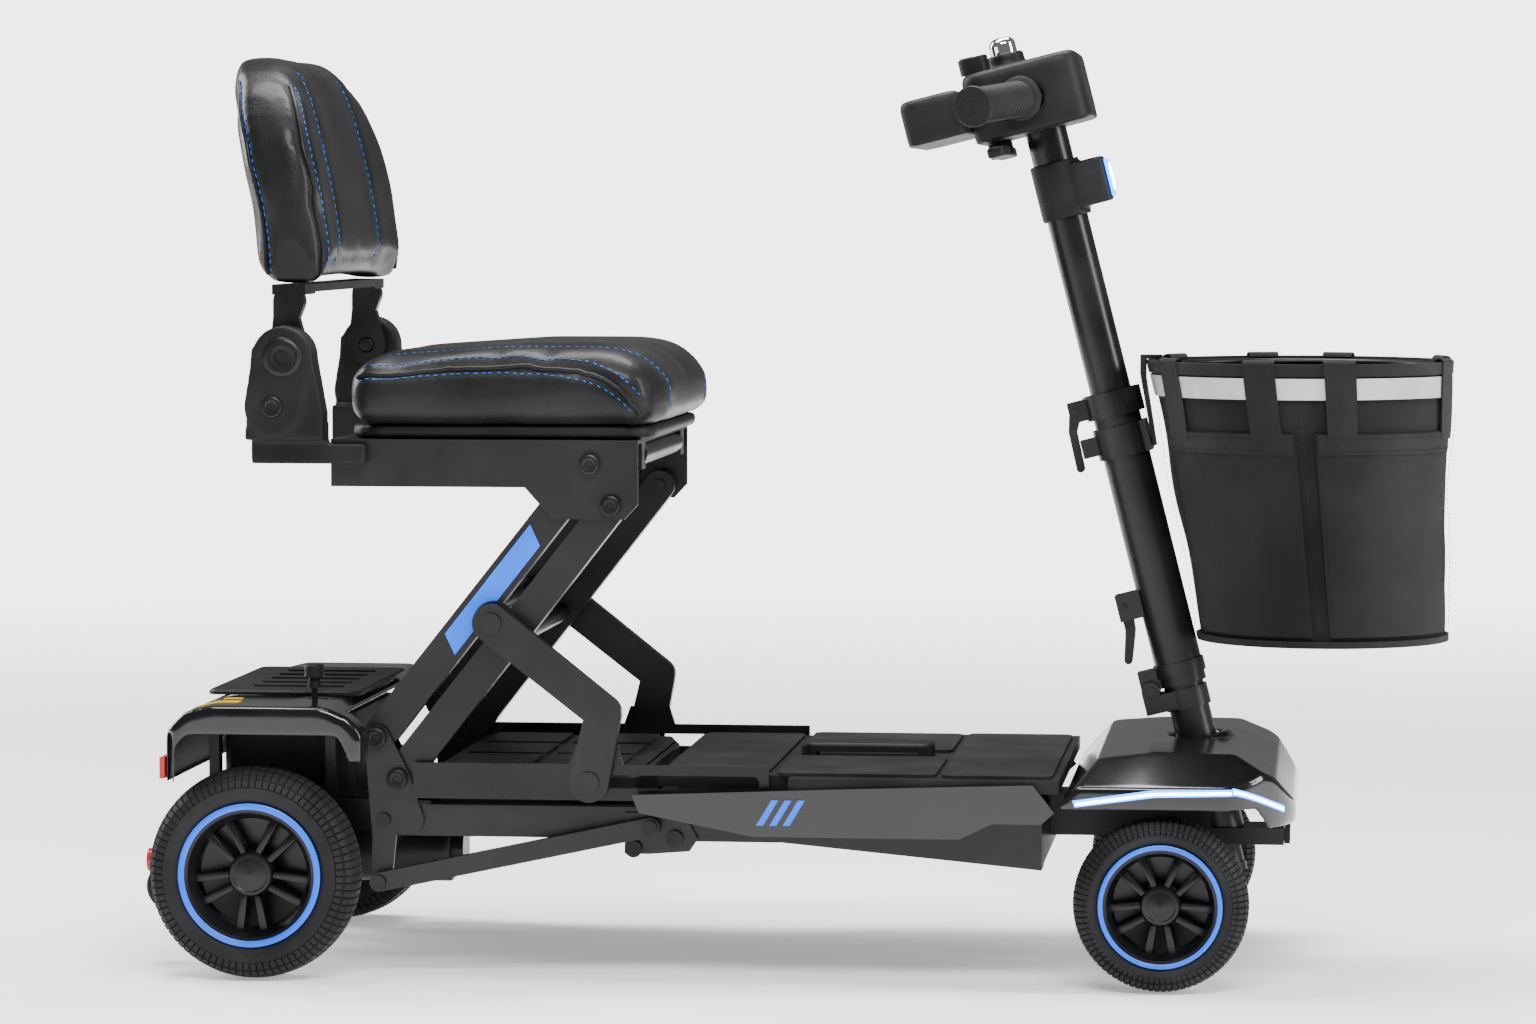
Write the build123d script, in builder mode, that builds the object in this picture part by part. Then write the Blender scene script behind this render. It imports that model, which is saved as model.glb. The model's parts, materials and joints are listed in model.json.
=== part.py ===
from build123d import *
import os
from math import cos, radians, sin

# Four-wheel folding mobility scooter, in millimetres.
# +X is forwards, +Y is the rider's left, +Z is up. The origin is on the floor, under the
# middle of the scooter. Right-hand pieces are drawn on planes that face -Y and then mirrored.

# ---- Driving dimensions ----
# wheels
rear_axle_x = -502.0
front_axle_x = 357.5
rear_wheel_r = 101.5
rear_wheel_in = 170.0
rear_wheel_w = 65.0
front_wheel_r = 82.6
front_wheel_in = 170.0
front_wheel_w = 52.0
wheel_fit = 0.1
shaft_fit = 0.05

# side-to-side layers of the folding tower, measured outwards from the middle plane
upright_in = 155.0
upright_t = 4.4
link_in = 160.0
link_t = 19.5
plate_in = link_in + link_t + 1.1
plate_t = 4.0
guide_in = plate_in + plate_t + 0.4
guide_t = 5.0
strut_in = guide_in + guide_t + 0.6
strut_t = 11.0
skirt_in = strut_in + strut_t + 5.4
skirt_t = 3.5
running_gap = 0.4

# folding tower, seen from the side
link_low = (-388.0, 229.0)
link_high = (-182.5, 490.5)
link_step = (20.0, -39.0)
link_half = 17.0
strut_arm = 176.5
strut_angle = 58.2
strut_knee = (-168.0, 256.0)
pivot_r = 6.0
pivot_fit = 0.1
bolt_head_r = 10.0
fold_slide = 153.0

# chassis
rail_in = 150.0
rail_low = 135.0
rail_high = 165.0
rail_rear = -394.0
rail_front = -112.0
beam_in = 140.0
beam_out = 180.3
beam_low = 133.0
beam_rear = -100.0
beam_front = 245.0
deck_low = 185.0
deck_high = 197.0
deck_rear = -119.0
deck_front = 262.0
mat_t = 3.0
hinge_bolt = (-102.0, 136.0)
rear_bolt = (-141.0, 126.0)
wall = 3.0

# rear end
cover_rear = -584.0
cover_front = -393.0
cover_top = 262.0
cover_half = 235.0
battery_half = 100.0
tray_t = 4.0
gearbox_r = 45.0
axle_tube_r = 18.0
motor_r = 33.0
tip_wheel = (-603.0, 75.0)
tip_wheel_r = 24.0

# steering and tiller
stem_foot = (371.7, 271.8)
stem_lean = 14.2
hinge_back = 31.7
column_r = 16.0
column_top_r = 19.5
lower_stem_r = 23.0
upper_stem_r = 20.0
lower_stem_len = 290.0
stem_gap = 0.3
kingpin_y = 155.0
kingpin_r = 6.0
arm_back = 60.0
head_high = 586.0
head_half = 34.0
grip_r = 17.0
bar_r = 11.0

# basket
basket_top = 586.0
basket_low = 315.0
basket_top_r = 146.0
basket_low_r = 118.0
basket_top_x = 482.0
basket_low_x = 506.0
basket_wall = 4.0

# seat
seat_rear = -424.0
seat_front = -99.0
seat_half = 205.0
seat_low = 527.0
seat_high = 608.0
rail_web_low = 468.0
base_plate_low = 509.0
base_plate_t = 4.0
back_pivot = (-468.0, 592.0)
back_low = 660.0
back_high = 885.0
soft_gap = 0.3

# ---- Places worked out from the driving dimensions ----
link_low_2 = (link_low[0] + link_step[0], link_low[1] + link_step[1])
link_high_2 = (link_high[0] + link_step[0], link_high[1] + link_step[1])
strut_high = (
    link_low_2[0] + strut_arm * cos(radians(strut_angle)),
    link_low_2[1] + strut_arm * sin(radians(strut_angle)),
)
strut_foot = (link_low_2[0] + 2 * strut_arm * cos(radians(strut_angle)), link_low_2[1])
rear_axle = (rear_axle_x, rear_wheel_r)
front_axle = (front_axle_x, front_wheel_r)
link_out = link_in + link_t
plate_out = plate_in + plate_t
head_seat = plate_out + 0.3
pivot_hole_r = pivot_r + pivot_fit
stem = Plane(
    origin=(stem_foot[0], 0, stem_foot[1]),
    x_dir=(cos(radians(stem_lean)), 0, sin(radians(stem_lean))),
    z_dir=(-sin(radians(stem_lean)), 0, cos(radians(stem_lean))),
)

os.makedirs("parts", exist_ok=True)


def save(builder, name):
    """Label a finished piece and write it to its own file."""
    builder.part.label = name
    export_step(builder.part, f"parts/{name}.step")


def side(y):
    """Upright plane on the right-hand side, y out from the middle, facing outwards."""
    return Plane.XZ.offset(y)


def peg(place, radius, inner, outer, mode=Mode.ADD):
    """Round peg or hole across the scooter, on the right-hand side."""
    with BuildSketch(side(inner)) as ring:
        with Locations(place):
            Circle(radius)
    extrude(ring.sketch, amount=outer - inner, mode=mode)


def slab(x, y, z, mode=Mode.ADD):
    """Rectangular block between pairs of limits."""
    with BuildSketch(Plane.XY.offset(z[0])) as base:
        with Locations(((x[0] + x[1]) / 2, (y[0] + y[1]) / 2)):
            Rectangle(x[1] - x[0], y[1] - y[0])
    extrude(base.sketch, amount=z[1] - z[0], mode=mode)


def outline(points, inner, outer, mode=Mode.ADD):
    """Flat-sided piece with a straight-edged side view, on the right-hand side."""
    with BuildSketch(side(inner)) as shape:
        with BuildLine():
            Polyline(*points, points[0])
        make_face()
    extrude(shape.sketch, amount=outer - inner, mode=mode)


def stretch(rounds, inner, outer, mode=Mode.ADD):
    """Flat bar wrapped round circles, each given as a place and a radius."""
    with BuildSketch(side(inner)) as shape:
        for place, radius in rounds:
            with Locations(place):
                Circle(radius)
        make_hull()
    extrude(shape.sketch, amount=outer - inner, mode=mode)


# ---- Road wheels: tyre, spoked rim, hub and shaft ----
def make_wheel(name, axle, radius, inner, width, bead, hub_r, shaft_r, shaft_in, left):
    """A tyre and a rim with five pairs of spokes, both turning about the axle."""
    x, z = axle
    outer = inner + width
    mid = (inner + outer) / 2
    sign = 1 if left else -1
    shoulder = radius * 0.16
    spin = Axis((x, 0, z), (0, 1, 0))
    with BuildPart() as tyre:
        with BuildSketch(Plane.YZ.offset(x)):
            with BuildLine():
                Polyline(
                    (sign * (inner + 4), z + bead),
                    (sign * inner, z + bead + 9),
                    (sign * inner, z + radius - shoulder),
                )
                ThreePointArc(
                    (sign * inner, z + radius - shoulder),
                    (sign * (inner + 0.3 * shoulder), z + radius - 0.3 * shoulder),
                    (sign * (inner + shoulder), z + radius - 2),
                )
                ThreePointArc(
                    (sign * (inner + shoulder), z + radius - 2),
                    (sign * mid, z + radius),
                    (sign * (outer - shoulder), z + radius - 2),
                )
                ThreePointArc(
                    (sign * (outer - shoulder), z + radius - 2),
                    (sign * (outer - 0.3 * shoulder), z + radius - 0.3 * shoulder),
                    (sign * outer, z + radius - shoulder),
                )
                Polyline(
                    (sign * outer, z + radius - shoulder),
                    (sign * outer, z + bead + 9),
                    (sign * (outer - 4), z + bead),
                    (sign * (inner + 4), z + bead),
                )
            make_face()
        revolve(axis=spin)
    save(tyre, f"{name}_tyre_{'left' if left else 'right'}")

    barrel_r = bead - wheel_fit
    barrel_in_r = barrel_r - 7
    window_r = barrel_in_r - 4
    face_in = outer - 18
    face_out = outer - 8
    half_turn = radians(27)
    foot_turn = radians(13)
    foot_r = hub_r + 6
    rim_low = (window_r * cos(half_turn), -window_r * sin(half_turn))
    rim_high = (window_r * cos(half_turn), window_r * sin(half_turn))
    foot_low = (foot_r * cos(foot_turn), -foot_r * sin(foot_turn))
    foot_high = (foot_r * cos(foot_turn), foot_r * sin(foot_turn))
    with BuildPart() as rim:
        with BuildSketch(side(inner + 4)):
            with Locations(axle):
                Circle(barrel_r)
                Circle(barrel_in_r, mode=Mode.SUBTRACT)
        extrude(amount=width - 6)
        with BuildSketch(side(face_in)):
            with Locations(axle):
                Circle(barrel_in_r + 1)
        extrude(amount=face_out - face_in)
        with BuildSketch(side(inner + 6)):
            with Locations(axle):
                Circle(hub_r)
        extrude(amount=width - 10)
        with BuildSketch(mode=Mode.PRIVATE) as window:
            with BuildLine():
                Line(foot_low, rim_low)
                ThreePointArc(rim_low, (window_r, 0), rim_high)
                Polyline(rim_high, foot_high, foot_low)
            make_face()
        with BuildSketch(side(face_in - 1)) as windows:
            with Locations(axle):
                with PolarLocations(0, 5, start_angle=54):
                    add(window.sketch)
        extrude(windows.sketch, amount=face_out - face_in + 2, mode=Mode.SUBTRACT)
        peg(axle, shaft_r + shaft_fit, inner, outer - 12, mode=Mode.SUBTRACT)
        if shaft_in is not None:
            peg(axle, shaft_r, shaft_in, outer - 13)
        if left:
            mirror(about=Plane.XZ, mode=Mode.REPLACE)
    save(rim, f"{name}_rim_{'left' if left else 'right'}")


for left in (False, True):
    make_wheel("rear", rear_axle, rear_wheel_r, rear_wheel_in, rear_wheel_w, 68.5, 21, 8, 62, left)
    make_wheel("front", front_axle, front_wheel_r, front_wheel_in, front_wheel_w, 58, 18.7, 6, None, left)

# ---- Rear frame: rails, cross members, floor pan, battery tray, braces and anti-tip arms ----
# Welded from separate lengths, so each length is its own solid and butts on its neighbours.
rear_rail_in = 118.0
rear_rail_out = 143.0
rear_rail_end = -560.0
with BuildPart() as rear_sides:
    slab((rail_rear, rail_front), (-plate_in, -rail_in), (rail_low, rail_high))
    slab((rear_rail_end, rail_rear), (-rear_rail_out, -rear_rail_in), (rail_low, rail_high))
    outline(
        [(-150, 121), (-126, 121), (-88, 124), (-80, 136), (-88, 150), (-126, 160), (-150, 160)],
        plate_in,
        plate_out,
    )
    stretch([((-384, 92), 9), ((-124, 148), 9)], 187, 199)
    peg((-384, 92), 5, plate_out, 200)
    peg((-124, 148), 5, plate_in, 200)
    outline([(-520, 80), (-484, 80), (-484, 136), (-520, 136)], 120, 141)
    outline(
        [(rear_rail_end, 160), (rear_rail_end, 136), (-594, 74), (-612, 74), (-618, 104), (-606, 116), (-580, 160)],
        129,
        135,
    )
    peg(tip_wheel, 4, 110, 130)
    slab((-562, -552), (-135, -120), (150, 253))
    slab((-448, -438), (-135, -120), (160, cover_top - wall - soft_gap))
    mirror(about=Plane.XZ)
    with BuildSketch(side(0)) as axle_hole:
        with Locations(rear_axle):
            Circle(axle_tube_r + 0.1)
    extrude(axle_hole.sketch, amount=150, both=True, mode=Mode.SUBTRACT)
with BuildPart() as cross_members:
    slab((rail_rear, rail_rear + 24), (-rail_in, rail_in), (rail_low, rail_high))
    slab((rail_front - 24, rail_front), (-rail_in, rail_in), (rail_low, rail_high))
    slab((rear_rail_end, rear_rail_end + 15), (-rear_rail_in, rear_rail_in), (rail_low, rail_high))
with BuildPart() as battery_tray:
    slab((-572, -412), (-135, 135), (rail_high, rail_high + tray_t))
    add(rear_sides.part, mode=Mode.SUBTRACT)
with BuildPart() as floor_pan:
    slab((rail_rear + 24, rail_front - 24), (-rail_in, rail_in), (rail_low, rail_low + wall))
rear_frame_pieces = [
    *rear_sides.solids(),
    *cross_members.solids(),
    *battery_tray.solids(),
    *floor_pan.solids(),
]
export_step(Compound(label="rear_frame", children=rear_frame_pieces), "parts/rear_frame.step")

# ---- Pivot plates: an outer plate and an inner upright each side carry both link pivots ----
with BuildPart() as pivot_plates:
    with BuildSketch(side(plate_in)) as plate_shape:
        with Locations(link_low, link_low_2, (-382, 150), (-355, 150)):
            Circle(12)
        make_hull()
    extrude(plate_shape.sketch, amount=plate_t)
    stretch([((-384, 92), 10), ((-380, 150), 12)], plate_in, plate_out)
    with BuildSketch(side(upright_in)) as upright_shape:
        with Locations(link_low, link_low_2):
            Circle(12)
        with Locations(((link_low_2[0] - 6), rail_high + 5)):
            Rectangle(30, 10)
        make_hull()
    extrude(upright_shape.sketch, amount=upright_t)
    for place in (link_low, link_low_2):
        peg(place, pivot_hole_r, upright_in - 1, plate_out + 1, mode=Mode.SUBTRACT)
    mirror(about=Plane.XZ)
save(pivot_plates, "pivot_plates")

# ---- Slotted guide rails that the strut feet run in ----
slot_rear = strut_foot[0] - pivot_r - 2
slot_front = strut_foot[0] + fold_slide + pivot_r + 2
with BuildPart() as guide_rails:
    outline([(-352, 172), (-12, 172), (-12, 206), (-352, 206)], guide_in, guide_in + guide_t)
    outline([(-352, 172), (-330, 172), (-330, 180), (-352, 180)], plate_out + 0.1, guide_in)
    outline([(-203, 205), (-150, 205), (-156, 224), (-196, 224)], guide_in, guide_in + guide_t)
    for centre in (-300, -120, -50):
        slab((centre - 8, centre + 8), (-guide_in, -plate_in - 0.3), (172, 180))
    with BuildSketch(side(guide_in - 1)) as slot:
        with Locations(((slot_rear + slot_front) / 2, strut_foot[1])):
            SlotOverall(slot_front - slot_rear, 2 * (pivot_r + 0.3))
    extrude(slot.sketch, amount=guide_t + 2, mode=Mode.SUBTRACT)
    mirror(about=Plane.XZ)
save(guide_rails, "guide_rails")

# ---- Drive: gearbox with its axle tube, and the motor ahead of it ----
with BuildPart() as transaxle:
    with BuildSketch(side(-32)) as case:
        with Locations(rear_axle):
            Circle(gearbox_r)
    extrude(case.sketch, amount=64)
    fillet(transaxle.edges().filter_by(GeomType.CIRCLE), 6)
    with BuildSketch(side(-150)) as tube:
        with Locations(rear_axle):
            Circle(axle_tube_r)
    extrude(tube.sketch, amount=300)
    with BuildSketch(side(-152)) as bore:
        with Locations(rear_axle):
            Circle(8 + shaft_fit)
    extrude(bore.sketch, amount=304, mode=Mode.SUBTRACT)
    slab((-480, -452), (-20, 20), (82, 122))
save(transaxle, "transaxle")

with BuildPart() as drive_motor:
    with BuildSketch(Plane.YZ.offset(-451.8)):
        with Locations((0, rear_axle[1] - 1)):
            Circle(motor_r)
    extrude(amount=106)
    fillet(drive_motor.edges().filter_by(GeomType.CIRCLE), 4)
    with BuildSketch(Plane.YZ.offset(-346)):
        with Locations((0, rear_axle[1] - 1)):
            Circle(20)
    extrude(amount=12)
save(drive_motor, "drive_motor")

with BuildPart() as battery_pack:
    slab((-555, -425), (-battery_half, battery_half), (rail_high + tray_t, 244))
    fillet(battery_pack.edges().filter_by(Axis.Z), 8)
    slab((-505, -475), (-45, 45), (243, 252))
save(battery_pack, "battery_pack")

# ---- Rear cover with both mudguards, and the battery lid set in its top ----
with BuildPart() as rear_cover:
    cover_outer = [
        (cover_rear, 187),
        (cover_rear, 236),
        (cover_rear + 20, 256),
        (-540, cover_top),
        (-430, cover_top),
        (-406, 252),
        (cover_front, 236),
        (cover_front, 208),
        (cover_front - 14, 208),
        (-418, 233),
        (-560, 233),
        (-572, 222),
        (-572, 187),
    ]
    with BuildSketch(side(-cover_half)) as cover_shape:
        with BuildLine():
            Polyline(*cover_outer, cover_outer[0])
        make_face()
    extrude(cover_shape.sketch, amount=2 * cover_half)
    fillet(rear_cover.edges().filter_by(Axis.Z).sort_by(Axis.X)[:2], 14)
    pocket = [
        (cover_rear + wall, 180),
        (cover_rear + wall, 235),
        (cover_rear + 21, 253),
        (-540, cover_top - wall),
        (-430, cover_top - wall),
        (-408, 249),
        (cover_front - wall, 234),
        (cover_front - wall, 200),
        (-500, 200),
    ]
    with BuildSketch(side(-cover_half + wall)) as pocket_shape:
        with BuildLine():
            Polyline(*pocket, pocket[0])
        make_face()
    extrude(pocket_shape.sketch, amount=2 * (cover_half - wall), mode=Mode.SUBTRACT)
    slab((-555, -425), (-115, 115), (250, 270), mode=Mode.SUBTRACT)
    slab((-412, -380), (-196, 196), (180, 280), mode=Mode.SUBTRACT)
    with Locations((-455, -150, cover_top - 1)):
        Cylinder(15, 4)
    slab((-460, -440), (-154, -146), (240, 280), mode=Mode.SUBTRACT)
save(rear_cover, "rear_cover")

with BuildPart() as battery_lid:
    slab((-566, -416), (-125, 125), (cover_top + soft_gap, cover_top + 5))
    fillet(battery_lid.edges().filter_by(Axis.Z), 12)
    chamfer(battery_lid.faces().sort_by(Axis.Z)[-1].edges(), 2)
    with BuildSketch(Plane.XY.offset(cover_top + 4.9)) as ribs:
        with GridLocations(0, 40, 1, 5):
            with Locations((-485, 0)):
                SlotOverall(90, 12)
    extrude(ribs.sketch, amount=1.6)
save(battery_lid, "battery_lid")

with BuildPart() as tail_lamps:
    slab((cover_rear - 5, cover_rear - 0.2), (-228, -198), (192, 212))
    with BuildSketch(Plane.YZ.offset(-619)) as reflector:
        with Locations((-147, 104)):
            Circle(11)
    extrude(reflector.sketch, amount=6)
    slab((-618, -613), (-142, -135.2), (101, 107))
    mirror(about=Plane.XZ)
save(tail_lamps, "tail_lamps")

with BuildPart() as freewheel_lever:
    with Locations((-455, -150, 271)):
        Cylinder(3, 24)
    with Locations((-455, -150, 278)):
        Cone(7, 5, 10)
    with Locations((-455, -150, 289)):
        Cylinder(9.5, 12)
    fillet(freewheel_lever.faces().sort_by(Axis.Z)[-1].edges(), 2.5)
save(freewheel_lever, "freewheel_lever")

# ---- Anti-tip wheels on pegs at the back ----
for left in (False, True):
    with BuildPart() as tip:
        peg(tip_wheel, tip_wheel_r, 112, 128)
        fillet(tip.edges(), 4)
        peg(tip_wheel, 4 + shaft_fit, 111, 129, mode=Mode.SUBTRACT)
        if left:
            mirror(about=Plane.XZ, mode=Mode.REPLACE)
    save(tip, f"anti_tip_wheel_{'left' if left else 'right'}")

# ---- Electronics and the covers between the rails ----
with BuildPart() as controller:
    slab((-320, -200), (-65, 65), (rail_low + wall, 182))
    fillet(controller.edges().filter_by(Axis.Z), 6)
    with BuildSketch(Plane.XY.offset(181.9)) as fins:
        with Locations((-260, 0)):
            with GridLocations(0, 14, 1, 8):
                Rectangle(100, 4)
    extrude(fins.sketch, amount=6)
save(controller, "controller")

with BuildPart() as mid_cover:
    slab((-344, -140), (-154, 154), (rail_high, 198))
    fillet(mid_cover.edges().filter_by(Axis.Z), 12)
    chamfer(mid_cover.faces().sort_by(Axis.Z)[-1].edges(), 8)
    slab((-341, -143), (-146, 146), (rail_high - 1, 194), mode=Mode.SUBTRACT)
    with BuildSketch(Plane.XY.offset(197.9)) as raised:
        with Locations((-242, 0)):
            with GridLocations(88, 98, 2, 3):
                RectangleRounded(78, 84, 8)
    extrude(raised.sketch, amount=3)
save(mid_cover, "mid_cover")

# ---- Folding tower: two pairs of link bars and the struts, each with its own pivot bolts ----
# A tube is welded between the two bars of each pair.
upper_tube = (
    link_low[0] + 0.45 * (link_high[0] - link_low[0]),
    link_low[1] + 0.45 * (link_high[1] - link_low[1]),
)
lower_tube = (
    link_low_2[0] + 0.5 * (link_high_2[0] - link_low_2[0]),
    link_low_2[1] + 0.5 * (link_high_2[1] - link_low_2[1]),
)


def pivot_bolt(place, inner, outer):
    """Bolt through a pivot, with a round head outside it."""
    peg(place, pivot_r, inner, outer)
    peg(place, bolt_head_r, outer, outer + 5)


with BuildPart() as upper_links:
    stretch([(link_low, link_half - 1), (link_high, link_half - 2)], link_in, link_out - running_gap)
    for place in (link_low, link_high):
        peg(place, pivot_hole_r, link_in - 1, link_out + 1, mode=Mode.SUBTRACT)
    mirror(about=Plane.XZ)
with BuildPart() as upper_cross:
    peg(upper_tube, 11, -link_in, link_in)
with BuildPart() as upper_bolts:
    pivot_bolt(link_low, upright_in - 3, head_seat)
    pivot_bolt(link_high, link_in - 4, head_seat)
    mirror(about=Plane.XZ)
upper_pieces = [*upper_links.solids(), *upper_cross.solids(), *upper_bolts.solids()]
export_step(Compound(label="upper_links", children=upper_pieces), "parts/upper_links.step")

with BuildPart() as lower_links:
    stretch([(link_low_2, link_half - 1), (link_high_2, link_half - 2)], link_in, link_out)
    stretch([(strut_high, 20), (lower_tube, 12)], link_out, link_out + plate_t + 0.8)
    for place in (link_low_2, link_high_2):
        peg(place, pivot_hole_r, link_in - 1, link_out + 1, mode=Mode.SUBTRACT)
    peg(strut_high, pivot_hole_r, link_out - 1, plate_out + 2, mode=Mode.SUBTRACT)
    mirror(about=Plane.XZ)
with BuildPart() as lower_cross:
    peg(lower_tube, 9, -link_in, link_in)
with BuildPart() as lower_bolts:
    pivot_bolt(link_low_2, upright_in - 3, head_seat)
    pivot_bolt(link_high_2, link_in - 4, head_seat)
    mirror(about=Plane.XZ)
lower_pieces = [*lower_links.solids(), *lower_cross.solids(), *lower_bolts.solids()]
export_step(Compound(label="lower_links", children=lower_pieces), "parts/lower_links.step")

# The strut hangs from the lower links and its foot slides along the guide slot.
with BuildPart() as struts:
    stretch([(strut_high, 18), (strut_knee, 17)], strut_in, strut_in + strut_t)
    stretch([(strut_knee, 17), (strut_foot, 19)], strut_in, strut_in + strut_t)
    peg(strut_high, 11, plate_out + 0.5, strut_in)
    peg(strut_high, pivot_r, link_out + 0.3, plate_out + 1)
    peg(strut_foot, pivot_r, plate_out - 1, strut_in)
    for place in (strut_high, strut_foot):
        peg(place, bolt_head_r, strut_in + strut_t, strut_in + strut_t + 3)
    mirror(about=Plane.XZ)
save(struts, "struts")

# ---- Seat platform ----
web_rear = -431.0
web_front = -137.0
with BuildPart() as seat_rails:
    outline(
        [
            (web_rear, rail_web_low),
            (-245, rail_web_low),
            (-218, 438),
            (-150, 438),
            (web_front, 452),
            (web_front, base_plate_low),
            (web_rear, base_plate_low),
        ],
        plate_in,
        plate_out,
    )
    slab((web_rear, web_front), (-155, -130), (484, base_plate_low))
    for place in (link_high, link_high_2):
        peg(place, pivot_hole_r, plate_in - 1, plate_out + 1, mode=Mode.SUBTRACT)
    mirror(about=Plane.XZ)
    slab((web_rear, web_front), (-plate_out, plate_out), (base_plate_low, base_plate_low + base_plate_t))
    for place, radius in (((-416, 497), 10), ((-146, 497), 11)):
        with BuildSketch(side(-132)) as cross_tube:
            with Locations(place):
                Circle(radius)
        extrude(cross_tube.sketch, amount=264)
save(seat_rails, "seat_rails")

with BuildPart() as seat_shell:
    slab((-428, -112), (-190, 190), (base_plate_low + base_plate_t + soft_gap, seat_low - soft_gap))
    fillet(seat_shell.edges().filter_by(Axis.Z), 40)
save(seat_shell, "seat_shell")

with BuildPart() as seat_cushion:
    with BuildSketch(side(-seat_half)) as cushion_side:
        with BuildLine():
            Line((seat_rear, seat_low), (seat_rear, seat_high - 20))
            Spline(
                (seat_rear, seat_high - 20),
                (-330, seat_high - 9),
                (-220, seat_high - 2),
                (-150, seat_high - 8),
                (seat_front, 560),
            )
            Line((seat_front, 560), (seat_front, 545))
            ThreePointArc((seat_front, 545), (-105, 533), (-118, seat_low))
            Line((-118, seat_low), (seat_rear, seat_low))
        make_face()
    extrude(cushion_side.sketch, amount=2 * seat_half)
    fillet(seat_cushion.edges().filter_by(Axis.Z), 24)
save(seat_cushion, "seat_cushion")

# Hinge housings at the back of the seat, bolted under the base plate.
with BuildPart() as seat_hinges:
    outline([(-505, 513.3), (-430, 513.3), (-430, 540), (-440, 596), (-468, 622), (-498, 600)], 199, 229)
    stretch([(back_pivot, 29), ((-478, 545), 27)], 199, 231)
    outline([(-505, 490), (-395, 490), (-395, 508.7), (-432, 508.7), (-432, 530), (-505, 530)], 186, 200)
    peg(back_pivot, 8, 184, 200)
    mirror(about=Plane.XZ)
save(seat_hinges, "seat_hinges")

# ---- Backrest: brackets on the hinge pins, a cross plate and the pad ----
with BuildPart() as back_brackets:
    stretch([(back_pivot, 19), ((-471, 628), 12)], 186, 198.6)
    stretch([((-471, 628), 12), ((-468, 644), 15)], 186, 198.6)
    slab((-484, -452), (-198.6, -150), (650, back_low - soft_gap))
    peg(back_pivot, 8 + shaft_fit, 185, 199, mode=Mode.SUBTRACT)
    mirror(about=Plane.XZ)
    slab((-484, -452), (-151, 151), (652, back_low - soft_gap))
save(back_brackets, "back_brackets")

back_half = 210.0
with BuildPart() as backrest_pad:
    with BuildSketch(side(-back_half)) as pad_side:
        with BuildLine():
            Spline((-426, back_low), (-434, 760), (-452, 830), (-479, 876))
            ThreePointArc((-479, 876), (-518, back_high), (-556, 872))
            Spline((-556, 872), (-541, 800), (-519, 730), (-497, back_low))
            Line((-497, back_low), (-426, back_low))
        make_face()
    extrude(pad_side.sketch, amount=2 * back_half)
    with BuildSketch(Plane.YZ.offset(-600)) as pad_front:
        with BuildLine():
            Polyline((-195, back_low - 1), (195, back_low - 1), (back_half, 740), (back_half - 8, 790))
            ThreePointArc((back_half - 8, 790), (145, 862), (0, back_high + 1))
            ThreePointArc((0, back_high + 1), (-145, 862), (-back_half + 8, 790))
            Polyline((-back_half + 8, 790), (-back_half, 740), (-195, back_low - 1))
        make_face()
    extrude(pad_front.sketch, amount=200, mode=Mode.INTERSECT)
save(backrest_pad, "backrest_pad")

# ---- Deck ----
with BuildPart() as deck_board:
    slab((deck_rear, deck_front), (-180.2, 180.2), (deck_low, deck_high))
    slab((8, deck_front), (-205, 205), (deck_low, deck_high))
    for edge in (-60, 60):
        slab((-74, 219), (edge - 4, edge + 4), (deck_low - 14, deck_low))
save(deck_board, "deck_board")

with BuildPart() as deck_mats:
    with BuildSketch(Plane.XY.offset(deck_high)) as mats:
        with Locations((-64, 0)):
            RectangleRounded(100, 340, 10)
        with Locations((70, 108), (70, -108)):
            RectangleRounded(150, 156, 10)
        with Locations((203, 0)):
            RectangleRounded(104, 380, 10)
    extrude(mats.sketch, amount=mat_t)
save(deck_mats, "deck_mats")

with BuildPart() as carry_handle:
    with BuildSketch(Plane.XY.offset(deck_high)) as handle_shape:
        with Locations((65, 0)):
            RectangleRounded(130, 36, 12)
    extrude(handle_shape.sketch, amount=14)
    fillet(carry_handle.faces().sort_by(Axis.Z)[-1].edges(), 4)
    slab((15, 115), (-30, 30), (deck_high - 1, deck_high + 6), mode=Mode.SUBTRACT)
save(carry_handle, "carry_handle")

# ---- Side skirts with three raised slanted bars ----
skirt = [
    (-140, 180),
    (-133, 163),
    (-25, 142),
    (169, 142),
    (200, 157),
    (246, 157),
    (258, 168),
    (238, 194),
    (60, 188),
]
with BuildPart() as side_skirts:
    outline(skirt, skirt_in, skirt_in + skirt_t)
    for start in (-20, -8, 4):
        outline(
            [(start, 152), (start + 6, 152), (start + 17, 178), (start + 11, 178)],
            skirt_in + skirt_t,
            skirt_in + skirt_t + 0.8,
        )
    mirror(about=Plane.XZ)
save(side_skirts, "side_skirts")

# ---- Front frame: beams, spine, head tube, axle beam with kingpin eyes ----
column_low = -182.0
head_tube_low = -150.0
head_tube_high = -62.0


def stem_block(x, y, z, mode=Mode.ADD):
    """Block squared up with the leaning stem, between pairs of limits in its own frame."""
    with BuildSketch(stem.offset(z[0])) as base:
        with Locations(((x[0] + x[1]) / 2, (y[0] + y[1]) / 2)):
            Rectangle(x[1] - x[0], y[1] - y[0])
    extrude(base.sketch, amount=z[1] - z[0], mode=mode)


def stem_disc(place, radius, low, high, mode=Mode.ADD):
    """Round piece or hole along the leaning stem."""
    with BuildSketch(stem.offset(low)) as base:
        with Locations(place):
            Circle(radius)
    extrude(base.sketch, amount=high - low, mode=mode)


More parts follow.
